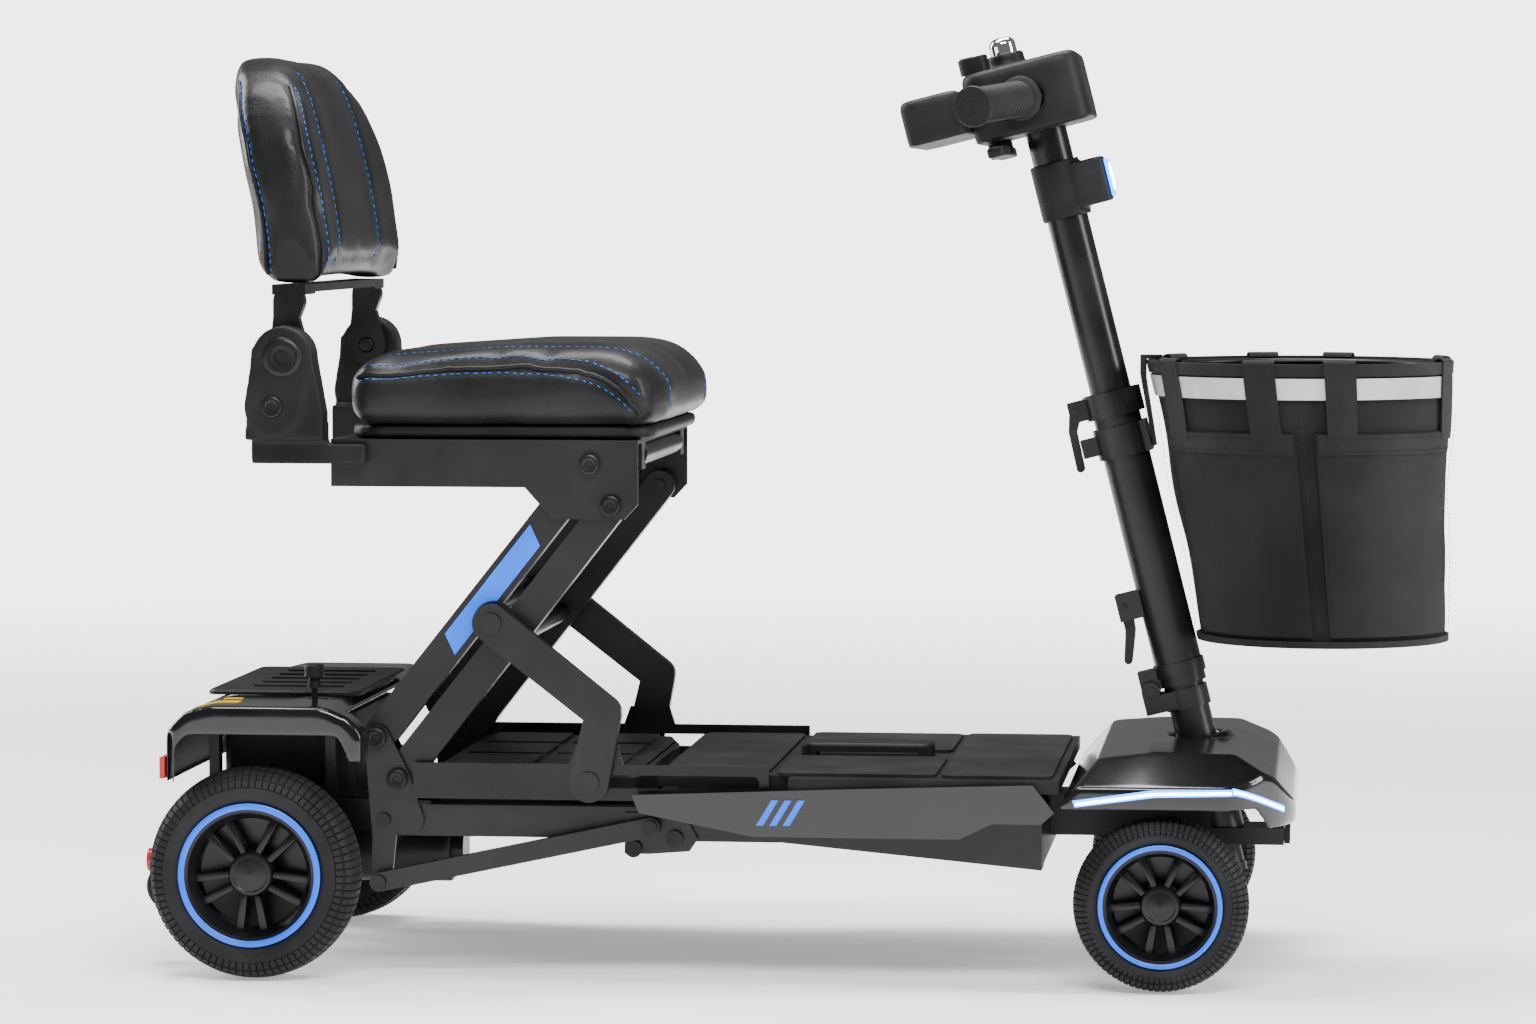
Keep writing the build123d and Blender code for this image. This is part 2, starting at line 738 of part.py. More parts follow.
def stem_peg(rounds, high, low, mode=Mode.ADD):
    """Piece across the stem, from y = high down to y = low, hulled round circles."""
    across = Plane(origin=(stem.origin.X, high, stem.origin.Z), x_dir=stem.x_dir, z_dir=(0, -1, 0))
    with BuildSketch(across) as face:
        for place, radius in rounds:
            with Locations(place):
                Circle(radius)
        if len(rounds) > 1:
            make_hull()
    extrude(face.sketch, amount=high - low, mode=mode)


def kingpin_disc(radius, low, high, mode=Mode.ADD):
    """Upright round piece or hole on the right-hand kingpin."""
    with BuildSketch(Plane.XY.offset(low)) as base:
        with Locations((front_axle_x, -kingpin_y)):
            Circle(radius)
    extrude(base.sketch, amount=high - low, mode=mode)


beam_top = deck_low - 0.2
eye_low = 100.0
eye_high = 133.0
with BuildPart() as front_frame:
    outline(
        [
            (beam_rear, beam_low),
            (0, beam_low),
            (beam_front, 110),
            (beam_front, 160),
            (228, beam_top),
            (beam_rear, beam_top),
        ],
        beam_in,
        beam_out,
    )
    slab((40, 60), (-skirt_in + soft_gap, -beam_out), (148, 174))
    slab((150, 170), (-skirt_in + soft_gap, -beam_out), (148, 174))
    slab((front_axle_x - 15, front_axle_x + 15), (-kingpin_y, 0), (103, 130))
    kingpin_disc(13, eye_low, eye_high)
    mirror(about=Plane.XZ)
    slab((beam_rear, beam_rear + 24), (-beam_in, beam_in), (beam_low, beam_top))
    slab((beam_front - 24, beam_front), (-beam_in, beam_in), (112, 160))
    slab((beam_front - 4, 400), (-35, 35), (126, 165))
    slab((400, 470), (-28, 28), (118, 134))
    stem_disc((0, 0), 24, head_tube_low, head_tube_high)
    stem_disc((0, 0), column_r + pivot_fit, column_low, head_tube_high + 1, mode=Mode.SUBTRACT)
    kingpin_disc(kingpin_r + pivot_fit, eye_low - 1, eye_high + 1, mode=Mode.SUBTRACT)
    with BuildSketch(Plane.XY.offset(eye_low - 1)) as left_eye:
        with Locations((front_axle_x, kingpin_y)):
            Circle(kingpin_r + pivot_fit)
    extrude(left_eye.sketch, amount=eye_high - eye_low + 2, mode=Mode.SUBTRACT)
save(front_frame, "front_frame")

with BuildPart() as frame_bolts:
    for place in (hinge_bolt, rear_bolt):
        peg(place, 8, plate_out, plate_out + 5)
    for place in ((-384, 92), (-124, 148)):
        peg(place, 7, 200, 203)
    peg((-382, 150), 7, plate_out, plate_out + 4)
    mirror(about=Plane.XZ)
    slab((470.3, 476), (-30, 30), (120, 132))
save(frame_bolts, "frame_bolts")

# ---- Front cover ----
cover_side = [
    (264, 172),
    (264, 178),
    (298, 217),
    (350, 222),
    (425, 221),
    (462, 202),
    (482, 174),
    (482, 154),
    (456, 154),
    (446, 172),
]


def cover_solid(side_view, half, nose, top_drop):
    """Front cover's outer or inner form: a side view trimmed in plan and from the front."""
    with BuildPart() as form:
        with BuildSketch(side(-half)) as side_face:
            with BuildLine():
                Polyline(*side_view, side_view[0])
            make_face()
        extrude(side_face.sketch, amount=2 * half)
        with BuildSketch(Plane.XY.offset(100)) as plan:
            with BuildLine():
                Polyline((200, half), (200, -half), (420, -half))
                ThreePointArc((420, -half), (nose - 16, -half + 42), (nose, -110))
                Line((nose, -110), (nose, 110))
                ThreePointArc((nose, 110), (nose - 16, half - 42), (420, half))
                Line((420, half), (200, half))
            make_face()
        extrude(plan.sketch, amount=200, mode=Mode.INTERSECT)
        with BuildSketch(Plane.YZ.offset(200)) as front_view:
            with BuildLine():
                Polyline(
                    (-half, 100),
                    (-half, 194 - top_drop),
                    (-half + 60, 224 - top_drop),
                    (half - 60, 224 - top_drop),
                    (half, 194 - top_drop),
                    (half, 100),
                    (-half, 100),
                )
            make_face()
        extrude(front_view.sketch, amount=400, mode=Mode.INTERSECT)
    return form.part


cover_inner_side = [
    (267, 150),
    (267, 177),
    (300, 213.5),
    (350, 219),
    (424, 218),
    (460, 200),
    (479, 173),
    (479, 150),
]
cover_form = cover_solid(cover_side, 225, 482, 0)
cover_space = cover_solid(cover_inner_side, 222, 479, 3)
with BuildPart() as front_cover:
    add(cover_form)
    add(cover_space, mode=Mode.SUBTRACT)
    stem_disc((0, 0), 34, -62, -53)
    stem_disc((0, 0), 25, -80, -40, mode=Mode.SUBTRACT)
save(front_cover, "front_cover")

with BuildPart() as led_strips:
    outline(
        [(278, 176), (352, 186), (424, 188), (424, 194), (350, 192.5), (276, 182)],
        225.2,
        228,
    )
    mirror(about=Plane.XZ)
save(led_strips, "led_strips")

# ---- Knuckles: kingpin, stub axle and steering arm in one forging ----
for left in (False, True):
    with BuildPart() as knuckle:
        kingpin_disc(kingpin_r, 80, eye_high + 0.5)
        kingpin_disc(10, eye_high + 0.5, eye_high + 7)
        kingpin_disc(12, 70, eye_low - 0.5)
        peg(front_axle, kingpin_r, kingpin_y, front_wheel_in + front_wheel_w - 13)
        peg(front_axle, 10, kingpin_y, front_wheel_in + 3)
        with BuildSketch(Plane.XY.offset(71)) as arm:
            with Locations((front_axle_x, -kingpin_y)):
                Circle(10)
            with Locations((front_axle_x - arm_back, -145)):
                Circle(8)
            make_hull()
        extrude(arm.sketch, amount=8)
        if left:
            mirror(about=Plane.XZ, mode=Mode.REPLACE)
    save(knuckle, f"knuckle_{'left' if left else 'right'}")

with BuildPart() as tie_rod:
    with BuildSketch(side(-145)) as rod:
        with Locations((front_axle_x - arm_back, 65)):
            Circle(4.5)
    extrude(rod.sketch, amount=290)
    for end in (-145, 145):
        with BuildSketch(Plane.XY.offset(60)) as eye:
            with Locations((front_axle_x - arm_back, end)):
                Circle(9)
        extrude(eye.sketch, amount=10.5)
    slab((front_axle_x - arm_back - 6, 362), (-12, 12), (61, 69))
save(tie_rod, "tie_rod")

# ---- Steering column with the fold hinge at its top ----
with BuildPart() as steering_column:
    stem_disc((0, 0), column_r, column_low, head_tube_high + 2)
    stem_disc((0, 0), column_top_r, head_tube_high + 2, -stem_gap)
    stem_disc((0, 0), 22, -24, -stem_gap - 4)
    with BuildSketch(stem.offset(column_low)) as pitman:
        with Locations((0, 0)):
            Circle(17)
        with Locations((-60, 0)):
            Circle(9)
        make_hull()
    extrude(pitman.sketch, amount=-8)
    for low, high in ((-20, -11), (11, 20)):
        stem_block((-hinge_back, -5), (low, high), (-22, -5))
        stem_block((-hinge_back - 9, -hinge_back), (low, high), (-22, 0))
        stem_peg([((-hinge_back, 0), 9)], high, low)
    stem_peg([((-hinge_back, 0), 5)], 22, -22)
save(steering_column, "steering_column")

with BuildPart() as lower_stem:
    stem_disc((0, 0), lower_stem_r, 0, lower_stem_len)
    stem_disc((0, 0), 25, 9, 22)
    stem_disc((0, 0), upper_stem_r + 0.3, 6, lower_stem_len + 1, mode=Mode.SUBTRACT)
    stem_block((-hinge_back - 9, -18), (-10.6, 10.6), (0, 20))
    stem_peg([((-hinge_back, 0), 9)], 10.6, -10.6)
    stem_disc((0, 0), upper_stem_r + 0.3, 6, 40, mode=Mode.SUBTRACT)
    stem_peg([((-hinge_back, 0), 5 + pivot_fit)], 22, -22, mode=Mode.SUBTRACT)
    for low, high in ((-14, -6.4), (6.4, 14)):
        stem_block((-44, -20), (low, high), (72, 98))
    stem_peg([((-36, 87), 3 + pivot_fit)], 15, -15, mode=Mode.SUBTRACT)
save(lower_stem, "lower_stem")

# Fold latch lever behind the stem, between its two lugs.
fold_pivot = (-36.0, 87.0)
with BuildPart() as fold_lever:
    stem_peg([(fold_pivot, 6), ((-37, 62), 5)], 6, -6)
    stem_peg([((-37, 62), 5), ((-46, 34), 4)], 6, -6)
    stem_peg([(fold_pivot, 3)], 14, -14)
save(fold_lever, "fold_lever")

# ---- Height clamp, its quick-release lever, and the basket bracket ----
clamp_pivot = (-38.0, 280.0)
with BuildPart() as stem_clamp:
    stem_disc((0, 0), 28.5, 268, 292)
    for low, high in ((-12, -5.4), (5.4, 12)):
        stem_block((-44, -24), (low, high), (270, 290))
    stem_disc((0, 0), lower_stem_r + 0.1, 267, 293, mode=Mode.SUBTRACT)
    stem_peg([(clamp_pivot, 3 + pivot_fit)], 13, -13, mode=Mode.SUBTRACT)
save(stem_clamp, "stem_clamp")

with BuildPart() as clamp_lever:
    stem_peg([(clamp_pivot, 6), ((-45, 262), 4)], 5, -5)
    stem_peg([((-45, 262), 4), ((-46, 226), 4)], 5, -5)
    stem_peg([(clamp_pivot, 3)], 13, -13)
save(clamp_lever, "clamp_lever")

bracket_low = 228.0
bracket_high = 258.0
with BuildPart() as basket_bracket:
    stem_disc((0, 0), 26.5, bracket_low, bracket_high)
    stem_block((22, 27), (-28, 28), (bracket_low, bracket_high))
    stem_block((20, 27), (-18, 18), (bracket_low, bracket_high))
    stem_block((-40, -24), (-12, 12), (bracket_low + 6, bracket_high - 6))
    stem_disc((0, 0), lower_stem_r + 0.1, bracket_low - 1, bracket_high + 1, mode=Mode.SUBTRACT)
save(basket_bracket, "basket_bracket")

# ---- Basket: round bag hung from a hoop with a hook plate at the back ----
with BuildPart() as basket_bag:
    with BuildSketch(Plane.XY.offset(basket_low)):
        with Locations((basket_low_x, 0)):
            Circle(basket_low_r)
    with BuildSketch(Plane.XY.offset(basket_top)):
        with Locations((basket_top_x, 0)):
            Circle(basket_top_r)
    loft()
    with BuildSketch(Plane.XY.offset(basket_low + basket_wall)) as low_inside:
        with Locations((basket_low_x, 0)):
            Circle(basket_low_r - basket_wall)
    with BuildSketch(Plane.XY.offset(basket_top + 0.1)) as high_inside:
        with Locations((basket_top_x, 0)):
            Circle(basket_top_r - basket_wall)
    loft([low_inside.sketch.face(), high_inside.sketch.face()], mode=Mode.SUBTRACT)
save(basket_bag, "basket_bag")

hoop_r = basket_top_r - basket_wall - 6
hoop_rear = basket_top_x - hoop_r
with BuildPart() as basket_rim:
    with BuildSketch(Plane.XZ):
        with Locations((basket_top_x + hoop_r, basket_top - 6)):
            Circle(3)
    revolve(axis=Axis((basket_top_x, 0, 0), (0, 0, 1)))
    outline(
        [
            (hoop_rear + 4, basket_top + 4),
            (329, basket_top + 4),
            (329, 572),
            (341.6, 503),
            (345, 503),
            (334.5, 568),
            (334.5, basket_top + 0.5),
            (hoop_rear - 1, basket_top + 0.5),
            (hoop_rear - 1, basket_top - 8),
            (hoop_rear + 4, basket_top - 8),
        ],
        -14,
        14,
    )
save(basket_rim, "basket_rim")

# ---- Upper stem with the headlamp on it ----
with BuildPart() as upper_stem:
    stem_disc((0, 0), upper_stem_r, 130, head_high - head_half + 3)
    stem_disc((0, 0), upper_stem_r - 3, 129, head_high - head_half - 10, mode=Mode.SUBTRACT)
save(upper_stem, "upper_stem")

lamp_high = 492.0
with BuildPart() as headlamp_housing:
    stem_disc((0, 0), 24, lamp_high - 28, lamp_high + 28)
    with BuildSketch(stem.offset(lamp_high - 21)) as lamp_body:
        with Locations((29, 0)):
            RectangleRounded(38, 44, 8)
    extrude(lamp_body.sketch, amount=44)
    stem_disc((0, 0), upper_stem_r + 0.1, lamp_high - 30, lamp_high + 30, mode=Mode.SUBTRACT)
save(headlamp_housing, "headlamp_housing")

with BuildPart() as headlamp_lens:
    stem_block((48.1, 51), (-19, 19), (lamp_high - 17, lamp_high + 19))
save(headlamp_lens, "headlamp_lens")

# ---- Head: shell, dash, handlebar and grips ----
head_low = head_high - head_half
head_top = head_high + head_half
horn_place = (-21.0, 0.0)
dial_place = (-50.0, -36.0)
bar_place = -2.0
bar_bend_y = 85.0
bar_end = (-50.0, 208.0)
bar_plane = stem.offset(head_high - 2)
with BuildPart() as head_shell:
    with BuildSketch(stem.offset(head_low)):
        with Locations((-7.5, 0)):
            RectangleRounded(115, 150, 22)
    extrude(amount=2 * head_half)
    fillet(head_shell.faces().sort_by(Axis.Z)[-1].edges(), 8)
    with BuildSketch(stem.offset(head_low + wall)) as head_space:
        with Locations((-7.5, 0)):
            RectangleRounded(109, 144, 19)
    extrude(head_space.sketch, amount=2 * (head_half - wall), mode=Mode.SUBTRACT)
    stem_disc(horn_place, 18.5, head_top - 2, head_top + 14)
    stem_disc(horn_place, 13.2, head_top - 4, head_top + 15, mode=Mode.SUBTRACT)
    stem_disc((0, 0), upper_stem_r + 0.1, head_low - 1, head_low + wall + 1, mode=Mode.SUBTRACT)
    hole_plane = Plane(origin=(bar_plane.origin.X, 90, bar_plane.origin.Z), x_dir=stem.x_dir, z_dir=(0, -1, 0))
    with BuildSketch(hole_plane) as bar_hole:
        with Locations((bar_place, 0)):
            Circle(bar_r + 0.2)
    extrude(bar_hole.sketch, amount=180, mode=Mode.SUBTRACT)
save(head_shell, "head_shell")

dash_half = 22.0
with BuildPart() as dash_panel:
    with BuildSketch(stem.offset(head_high - dash_half)):
        with Locations((-95.2, 0)):
            RectangleRounded(60, 230, 18)
    extrude(amount=2 * dash_half)
    fillet(dash_panel.faces().sort_by(Axis.Z)[-1].edges(), 6)
    with BuildSketch(stem.offset(head_high - dash_half + wall)) as dash_space:
        with Locations((-95.2, 0)):
            RectangleRounded(54, 224, 15)
    extrude(dash_space.sketch, amount=2 * (dash_half - wall), mode=Mode.SUBTRACT)
save(dash_panel, "dash_panel")

with BuildPart() as handlebar:
    with BuildLine(bar_plane) as bar_path:
        FilletPolyline(
            (bar_end[0], -bar_end[1]),
            (bar_place, -bar_bend_y),
            (bar_place, bar_bend_y),
            (bar_end[0], bar_end[1]),
            radius=26,
        )
    with BuildSketch(Plane(origin=bar_path.line @ 0, z_dir=bar_path.line % 0)) as bar_section:
        Circle(bar_r)
        Circle(bar_r - 2.5, mode=Mode.SUBTRACT)
    sweep(bar_section.sketch, path=bar_path.line)
save(handlebar, "handlebar")

grip_start = 0.16
with BuildPart() as grips:
    with BuildLine(bar_plane, mode=Mode.PRIVATE) as grip_line:
        Line((bar_end[0] - 1.6, -bar_end[1] - 4), (bar_place, -bar_bend_y))
    grip_run = grip_line.edges()[0]
    length = grip_run.length * (1 - grip_start)
    grip_plane = Plane(origin=grip_run @ 0, z_dir=grip_run % 0)
    with BuildSketch(grip_plane) as grip_outer:
        Circle(grip_r)
    extrude(grip_outer.sketch, amount=length)
    with BuildSketch(grip_plane.offset(3)) as grip_bore:
        Circle(bar_r + 0.1)
    extrude(grip_bore.sketch, amount=length, mode=Mode.SUBTRACT)
    mirror(about=Plane.XZ)
save(grips, "grips")

with BuildPart() as throttle_paddle:
    stem_disc((-46, 0), 12, head_low - 16, head_low - 0.3)
    with BuildSketch(stem.offset(head_low - 16)) as paddle:
        with Locations((-46, 0)):
            SlotOverall(190, 18, rotation=90)
    extrude(paddle.sketch, amount=10)
save(throttle_paddle, "throttle_paddle")

with BuildPart() as speed_dial:
    stem_disc(dial_place, 14.5, head_top + 0.3, head_top + 16)
    fillet(speed_dial.edges().filter_by(GeomType.CIRCLE).sort_by(Axis.Z)[-1], 2)
    pointer_x = (dial_place[0] - 12, dial_place[0])
    pointer_y = (dial_place[1] - 1, dial_place[1] + 1)
    stem_block(pointer_x, pointer_y, (head_top + 15.5, head_top + 17))
save(speed_dial, "speed_dial")

with BuildPart() as horn_button:
    stem_disc(horn_place, 13, head_top + 3, head_top + 29)
    fillet(horn_button.edges().filter_by(GeomType.CIRCLE).sort_by(Axis.Z)[-1], 8)
save(horn_button, "horn_button")
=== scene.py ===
import json
import math

import bmesh
import bpy
from mathutils import Matrix, Vector

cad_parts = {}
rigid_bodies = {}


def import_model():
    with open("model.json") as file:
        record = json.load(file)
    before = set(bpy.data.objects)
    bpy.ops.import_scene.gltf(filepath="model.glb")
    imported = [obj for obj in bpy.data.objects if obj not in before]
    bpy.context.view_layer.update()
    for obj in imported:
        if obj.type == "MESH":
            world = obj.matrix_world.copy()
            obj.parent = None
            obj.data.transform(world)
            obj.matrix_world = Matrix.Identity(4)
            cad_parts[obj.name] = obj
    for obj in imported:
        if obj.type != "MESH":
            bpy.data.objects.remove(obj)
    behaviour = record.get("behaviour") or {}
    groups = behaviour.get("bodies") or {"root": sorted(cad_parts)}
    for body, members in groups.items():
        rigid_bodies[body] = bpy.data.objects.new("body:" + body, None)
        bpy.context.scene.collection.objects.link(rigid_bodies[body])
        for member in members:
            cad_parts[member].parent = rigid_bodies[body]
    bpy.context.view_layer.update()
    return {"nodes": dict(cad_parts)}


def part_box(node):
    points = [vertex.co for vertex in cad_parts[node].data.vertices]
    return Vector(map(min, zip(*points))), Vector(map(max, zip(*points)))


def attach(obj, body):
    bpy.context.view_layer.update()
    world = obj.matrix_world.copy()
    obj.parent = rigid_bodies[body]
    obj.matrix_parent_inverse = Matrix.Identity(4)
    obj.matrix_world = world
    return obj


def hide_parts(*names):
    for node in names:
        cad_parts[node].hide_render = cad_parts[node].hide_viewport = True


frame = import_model()
nodes = frame["nodes"]
bpy.ops.object.select_all(action="DESELECT")


# ---- Studio ----
# A pale floor that brightens into a white room, a broad key and top light above the
# seat, and two tall strips that draw the long highlights on the black paint.
view_turn = math.radians(6.4)
view_rise = math.radians(3.5)
view_aim = Vector((-0.034, 0.0, 0.435))
view_far = 4.89
view_back = Vector(
    (
        math.sin(view_turn) * math.cos(view_rise),
        -math.cos(view_turn) * math.cos(view_rise),
        math.sin(view_rise),
    )
)
camera_data = bpy.data.cameras.new("camera")
camera_data.sensor_width = 36.0
camera_data.lens = 117.2
camera = bpy.data.objects.new("camera", camera_data)
bpy.context.scene.collection.objects.link(camera)
camera.location = view_aim + view_back * view_far
camera.rotation_euler = (-view_back).to_track_quat("-Z", "Y").to_euler()
bpy.context.scene.camera = camera

world = bpy.data.worlds.new("studio")
bpy.context.scene.world = world
world.use_nodes = True
world_tree = world.node_tree
room_light = world_tree.nodes["Background"]
room_light.inputs["Color"].default_value = (1, 1, 1, 1)
room_light.inputs["Strength"].default_value = 0.2
white_sweep = world_tree.nodes.new("ShaderNodeBackground")
white_sweep.inputs["Color"].default_value = (1, 1, 1, 1)
white_sweep.inputs["Strength"].default_value = 4.2
ray = world_tree.nodes.new("ShaderNodeLightPath")
room = world_tree.nodes.new("ShaderNodeMixShader")
world_tree.links.new(ray.outputs["Is Camera Ray"], room.inputs["Fac"])
world_tree.links.new(room_light.outputs["Background"], room.inputs[1])
world_tree.links.new(white_sweep.outputs["Background"], room.inputs[2])
world_tree.links.new(room.outputs["Shader"], world_tree.nodes["World Output"].inputs["Surface"])


def add_softbox(name, place, aim, size, power):
    """One rectangular studio light, turned towards a point."""
    data = bpy.data.lights.new(name, "AREA")
    data.shape = "RECTANGLE"
    data.size, data.size_y = size
    data.energy = power
    lamp = bpy.data.objects.new(name, data)
    bpy.context.scene.collection.objects.link(lamp)
    lamp.location = place
    lamp.rotation_euler = (Vector(aim) - Vector(place)).to_track_quat("-Z", "Y").to_euler()


add_softbox("key", (0.5, -2.3, 2.7), (0, 0, 0.4), (2.2, 0.9), 150)
add_softbox("top", (-0.2, 0.3, 2.6), (0, 0, 0.3), (2.4, 0.8), 140)
add_softbox("edge", (-2.3, 0.9, 1.5), (-0.2, 0, 0.5), (0.5, 2.0), 70)
add_softbox("front_strip", (2.4, -0.5, 1.3), (0.3, 0, 0.4), (0.5, 2.0), 60)

bpy.ops.mesh.primitive_plane_add(size=10, location=(0, 0, -0.0005))
floor = bpy.context.object
floor.name = "floor"
bpy.ops.object.mode_set(mode="EDIT")
bpy.ops.mesh.subdivide(number_cuts=4)
bpy.ops.object.mode_set(mode="OBJECT")
floor_paint = bpy.data.materials.new("floor_paint")
floor_paint.use_nodes = True
floor_shader = floor_paint.node_tree.nodes["Principled BSDF"]
floor_shader.inputs["Base Color"].default_value = (0.93, 0.93, 0.93, 1)
floor_shader.inputs["Roughness"].default_value = 0.6
floor_shader.inputs["Emission Color"].default_value = (1, 1, 1, 1)
floor_tree = floor_paint.node_tree
floor_place = floor_tree.nodes.new("ShaderNodeTexCoord")
floor_far = floor_tree.nodes.new("ShaderNodeVectorMath")
floor_far.operation = "LENGTH"
floor_lift = floor_tree.nodes.new("ShaderNodeMapRange")
floor_lift.interpolation_type = "SMOOTHSTEP"
floor_lift.inputs["From Min"].default_value = 1.2
floor_lift.inputs["From Max"].default_value = 5.2
floor_lift.inputs["To Min"].default_value = 0.4
floor_lift.inputs["To Max"].default_value = 4.0
floor_tree.links.new(floor_place.outputs["Object"], floor_far.inputs[0])
floor_tree.links.new(floor_far.outputs["Value"], floor_lift.inputs["Value"])
floor_tree.links.new(floor_lift.outputs["Result"], floor_shader.inputs["Emission Strength"])
floor.data.materials.append(floor_paint)


# ---- Frame metalwork ----
# Aluminium tube and plate under satin black powder coat, with a fine orange-peel
# surface and soft patches of a slightly lighter tone.
def make_finish(name, dark, light, rough, metal=0.0, grain=900.0, depth=0.00004, coat=0.0, patch=14.0):
    """A finish with two tones in soft patches, uneven gloss and a fine grain."""
    finish = bpy.data.materials.new(name)
    finish.use_nodes = True
    tree = finish.node_tree
    shader = tree.nodes["Principled BSDF"]
    place = tree.nodes.new("ShaderNodeTexCoord")
    cloud = tree.nodes.new("ShaderNodeTexNoise")
    cloud.inputs["Scale"].default_value = patch
    cloud.inputs["Detail"].default_value = 5
    tone = tree.nodes.new("ShaderNodeValToRGB")
    tone.color_ramp.elements[0].position = 0.35
    tone.color_ramp.elements[1].position = 0.68
    tone.color_ramp.elements[0].color = (*dark, 1)
    tone.color_ramp.elements[1].color = (*light, 1)
    speck = tree.nodes.new("ShaderNodeTexNoise")
    speck.inputs["Scale"].default_value = grain
    speck.inputs["Detail"].default_value = 2
    gloss = tree.nodes.new("ShaderNodeMapRange")
    gloss.inputs["To Min"].default_value = max(0.03, rough - 0.07)
    gloss.inputs["To Max"].default_value = min(1.0, rough + 0.09)
    bump = tree.nodes.new("ShaderNodeBump")
    bump.inputs["Strength"].default_value = 0.6
    bump.inputs["Distance"].default_value = depth
    tree.links.new(place.outputs["Object"], cloud.inputs["Vector"])
    tree.links.new(place.outputs["Object"], speck.inputs["Vector"])
    tree.links.new(cloud.outputs["Fac"], tone.inputs["Fac"])
    tree.links.new(tone.outputs["Color"], shader.inputs["Base Color"])
    tree.links.new(cloud.outputs["Fac"], gloss.inputs["Value"])
    tree.links.new(gloss.outputs["Result"], shader.inputs["Roughness"])
    tree.links.new(speck.outputs["Fac"], bump.inputs["Height"])
    tree.links.new(bump.outputs["Normal"], shader.inputs["Normal"])
    shader.inputs["Metallic"].default_value = metal
    shader.inputs["Specular IOR Level"].default_value = 0.3 if rough < 0.4 else 0.13
    shader.inputs["Coat Weight"].default_value = coat
    shader.inputs["Coat Roughness"].default_value = 0.12
    return finish


def paint_nodes(finish, *names):
    """Give CAD nodes their finish."""
    for name in names:
        node = nodes[name]
        node.data.materials.clear()
        node.data.materials.append(finish)


powder_coat = make_finish("powder_coat", (0.004, 0.004, 0.0045), (0.010, 0.010, 0.011), 0.34)
paint_nodes(
    powder_coat,
    "rear_frame",
    "pivot_plates",
    "front_frame",
    "seat_rails",
    "upper_links",
    "lower_links",
    "struts",
    "lower_stem",
    "steering_column",
    "basket_bracket",
)
anodised = make_finish(
    "anodised_black", (0.005, 0.005, 0.006), (0.012, 0.012, 0.013), 0.26, metal=0.2, grain=1600
)
paint_nodes(anodised, "upper_stem", "handlebar", "stem_clamp", "guide_rails")
black_oxide = make_finish("black_oxide", (0.008, 0.008, 0.008), (0.024, 0.024, 0.024), 0.36, metal=0.6)
paint_nodes(
    black_oxide,
    "tie_rod",
    "knuckle_right",
    "knuckle_left",
    "back_brackets",
    "clamp_lever",
    "fold_lever",
    "drive_motor",
)
paint_nodes(black_oxide, "frame_bolts")
cast_black = make_finish(
    "cast_black", (0.02, 0.02, 0.021), (0.035, 0.035, 0.036), 0.55, metal=0.4, grain=500, depth=0.0001
)
paint_nodes(cast_black, "transaxle")

# ---- Moulded covers and trim ----
# Injection-moulded ABS: the mudguards and nose are high-gloss black, the lids, boards
# and small trim have a fine spark-eroded texture.
gloss_black = make_finish(
    "gloss_black", (0.003, 0.003, 0.0035), (0.006, 0.006, 0.0065), 0.16, coat=0.4, grain=400, depth=0.00001
)
paint_nodes(gloss_black, "rear_cover", "front_cover", "side_skirts")
moulded = make_finish(
    "moulded_texture", (0.006, 0.006, 0.0065), (0.013, 0.013, 0.014), 0.46, grain=1300, depth=0.00008
)
paint_nodes(
    moulded,
    "battery_lid",
    "mid_cover",
    "deck_board",
    "carry_handle",
    "seat_shell",
    "seat_hinges",
    "dash_panel",
    "head_shell",
    "headlamp_housing",
    "throttle_paddle",
    "speed_dial",
    "controller",
    "anti_tip_wheel_right",
    "anti_tip_wheel_left",
    "freewheel_lever",
    "battery_pack",
)
mat_rubber = make_finish(
    "mat_rubber", (0.008, 0.008, 0.008), (0.017, 0.017, 0.017), 0.58, grain=700, depth=0.00015
)
paint_nodes(mat_rubber, "deck_mats", "grips")
red_lens = make_finish("red_lens", (0.35, 0.01, 0.01), (0.5, 0.02, 0.02), 0.15, grain=300, depth=0.0002)
paint_nodes(red_lens, "tail_lamps")
chrome = make_finish("chrome", (0.7, 0.7, 0.72), (0.82, 0.82, 0.84), 0.08, metal=1.0, depth=0.000005)
paint_nodes(chrome, "horn_button")

# ---- Road wheels ----
# Foam-filled tyres with moulded tread blocks on cast rims: five pairs of spokes, a blue
# painted ring at the bead and a plain pressed cap over the axle nut.
def turn_section(name, section, axle, steps):
    """A ring turned about an axle across the scooter from a closed section of (radius, y)."""
    bpy.ops.mesh.primitive_circle_add(vertices=len(section), radius=0.01)
    ring = bpy.context.object
    ring.name = name
    bpy.ops.object.mode_set(mode="EDIT")
    sketch = bmesh.from_edit_mesh(ring.data)
    sketch.verts.ensure_lookup_table()
    for corner, (radius, across) in zip(sketch.verts, section):
        corner.co = Vector((axle[0], across, axle[2] + radius))
    bmesh.update_edit_mesh(ring.data)
    bpy.ops.mesh.select_all(action="SELECT")
    bpy.ops.mesh.spin(steps=steps, angle=math.tau, center=(axle[0], 0, axle[2]), axis=(0, 1, 0))
    bpy.ops.mesh.select_all(action="SELECT")
    bpy.ops.mesh.remove_doubles(threshold=0.00005)
    bpy.ops.mesh.normals_make_consistent(inside=False)
    bpy.ops.mesh.select_all(action="DESELECT")
    bpy.ops.object.mode_set(mode="OBJECT")
    settle(ring)
    bpy.ops.object.shade_smooth_by_angle(angle=math.radians(35))
    return ring


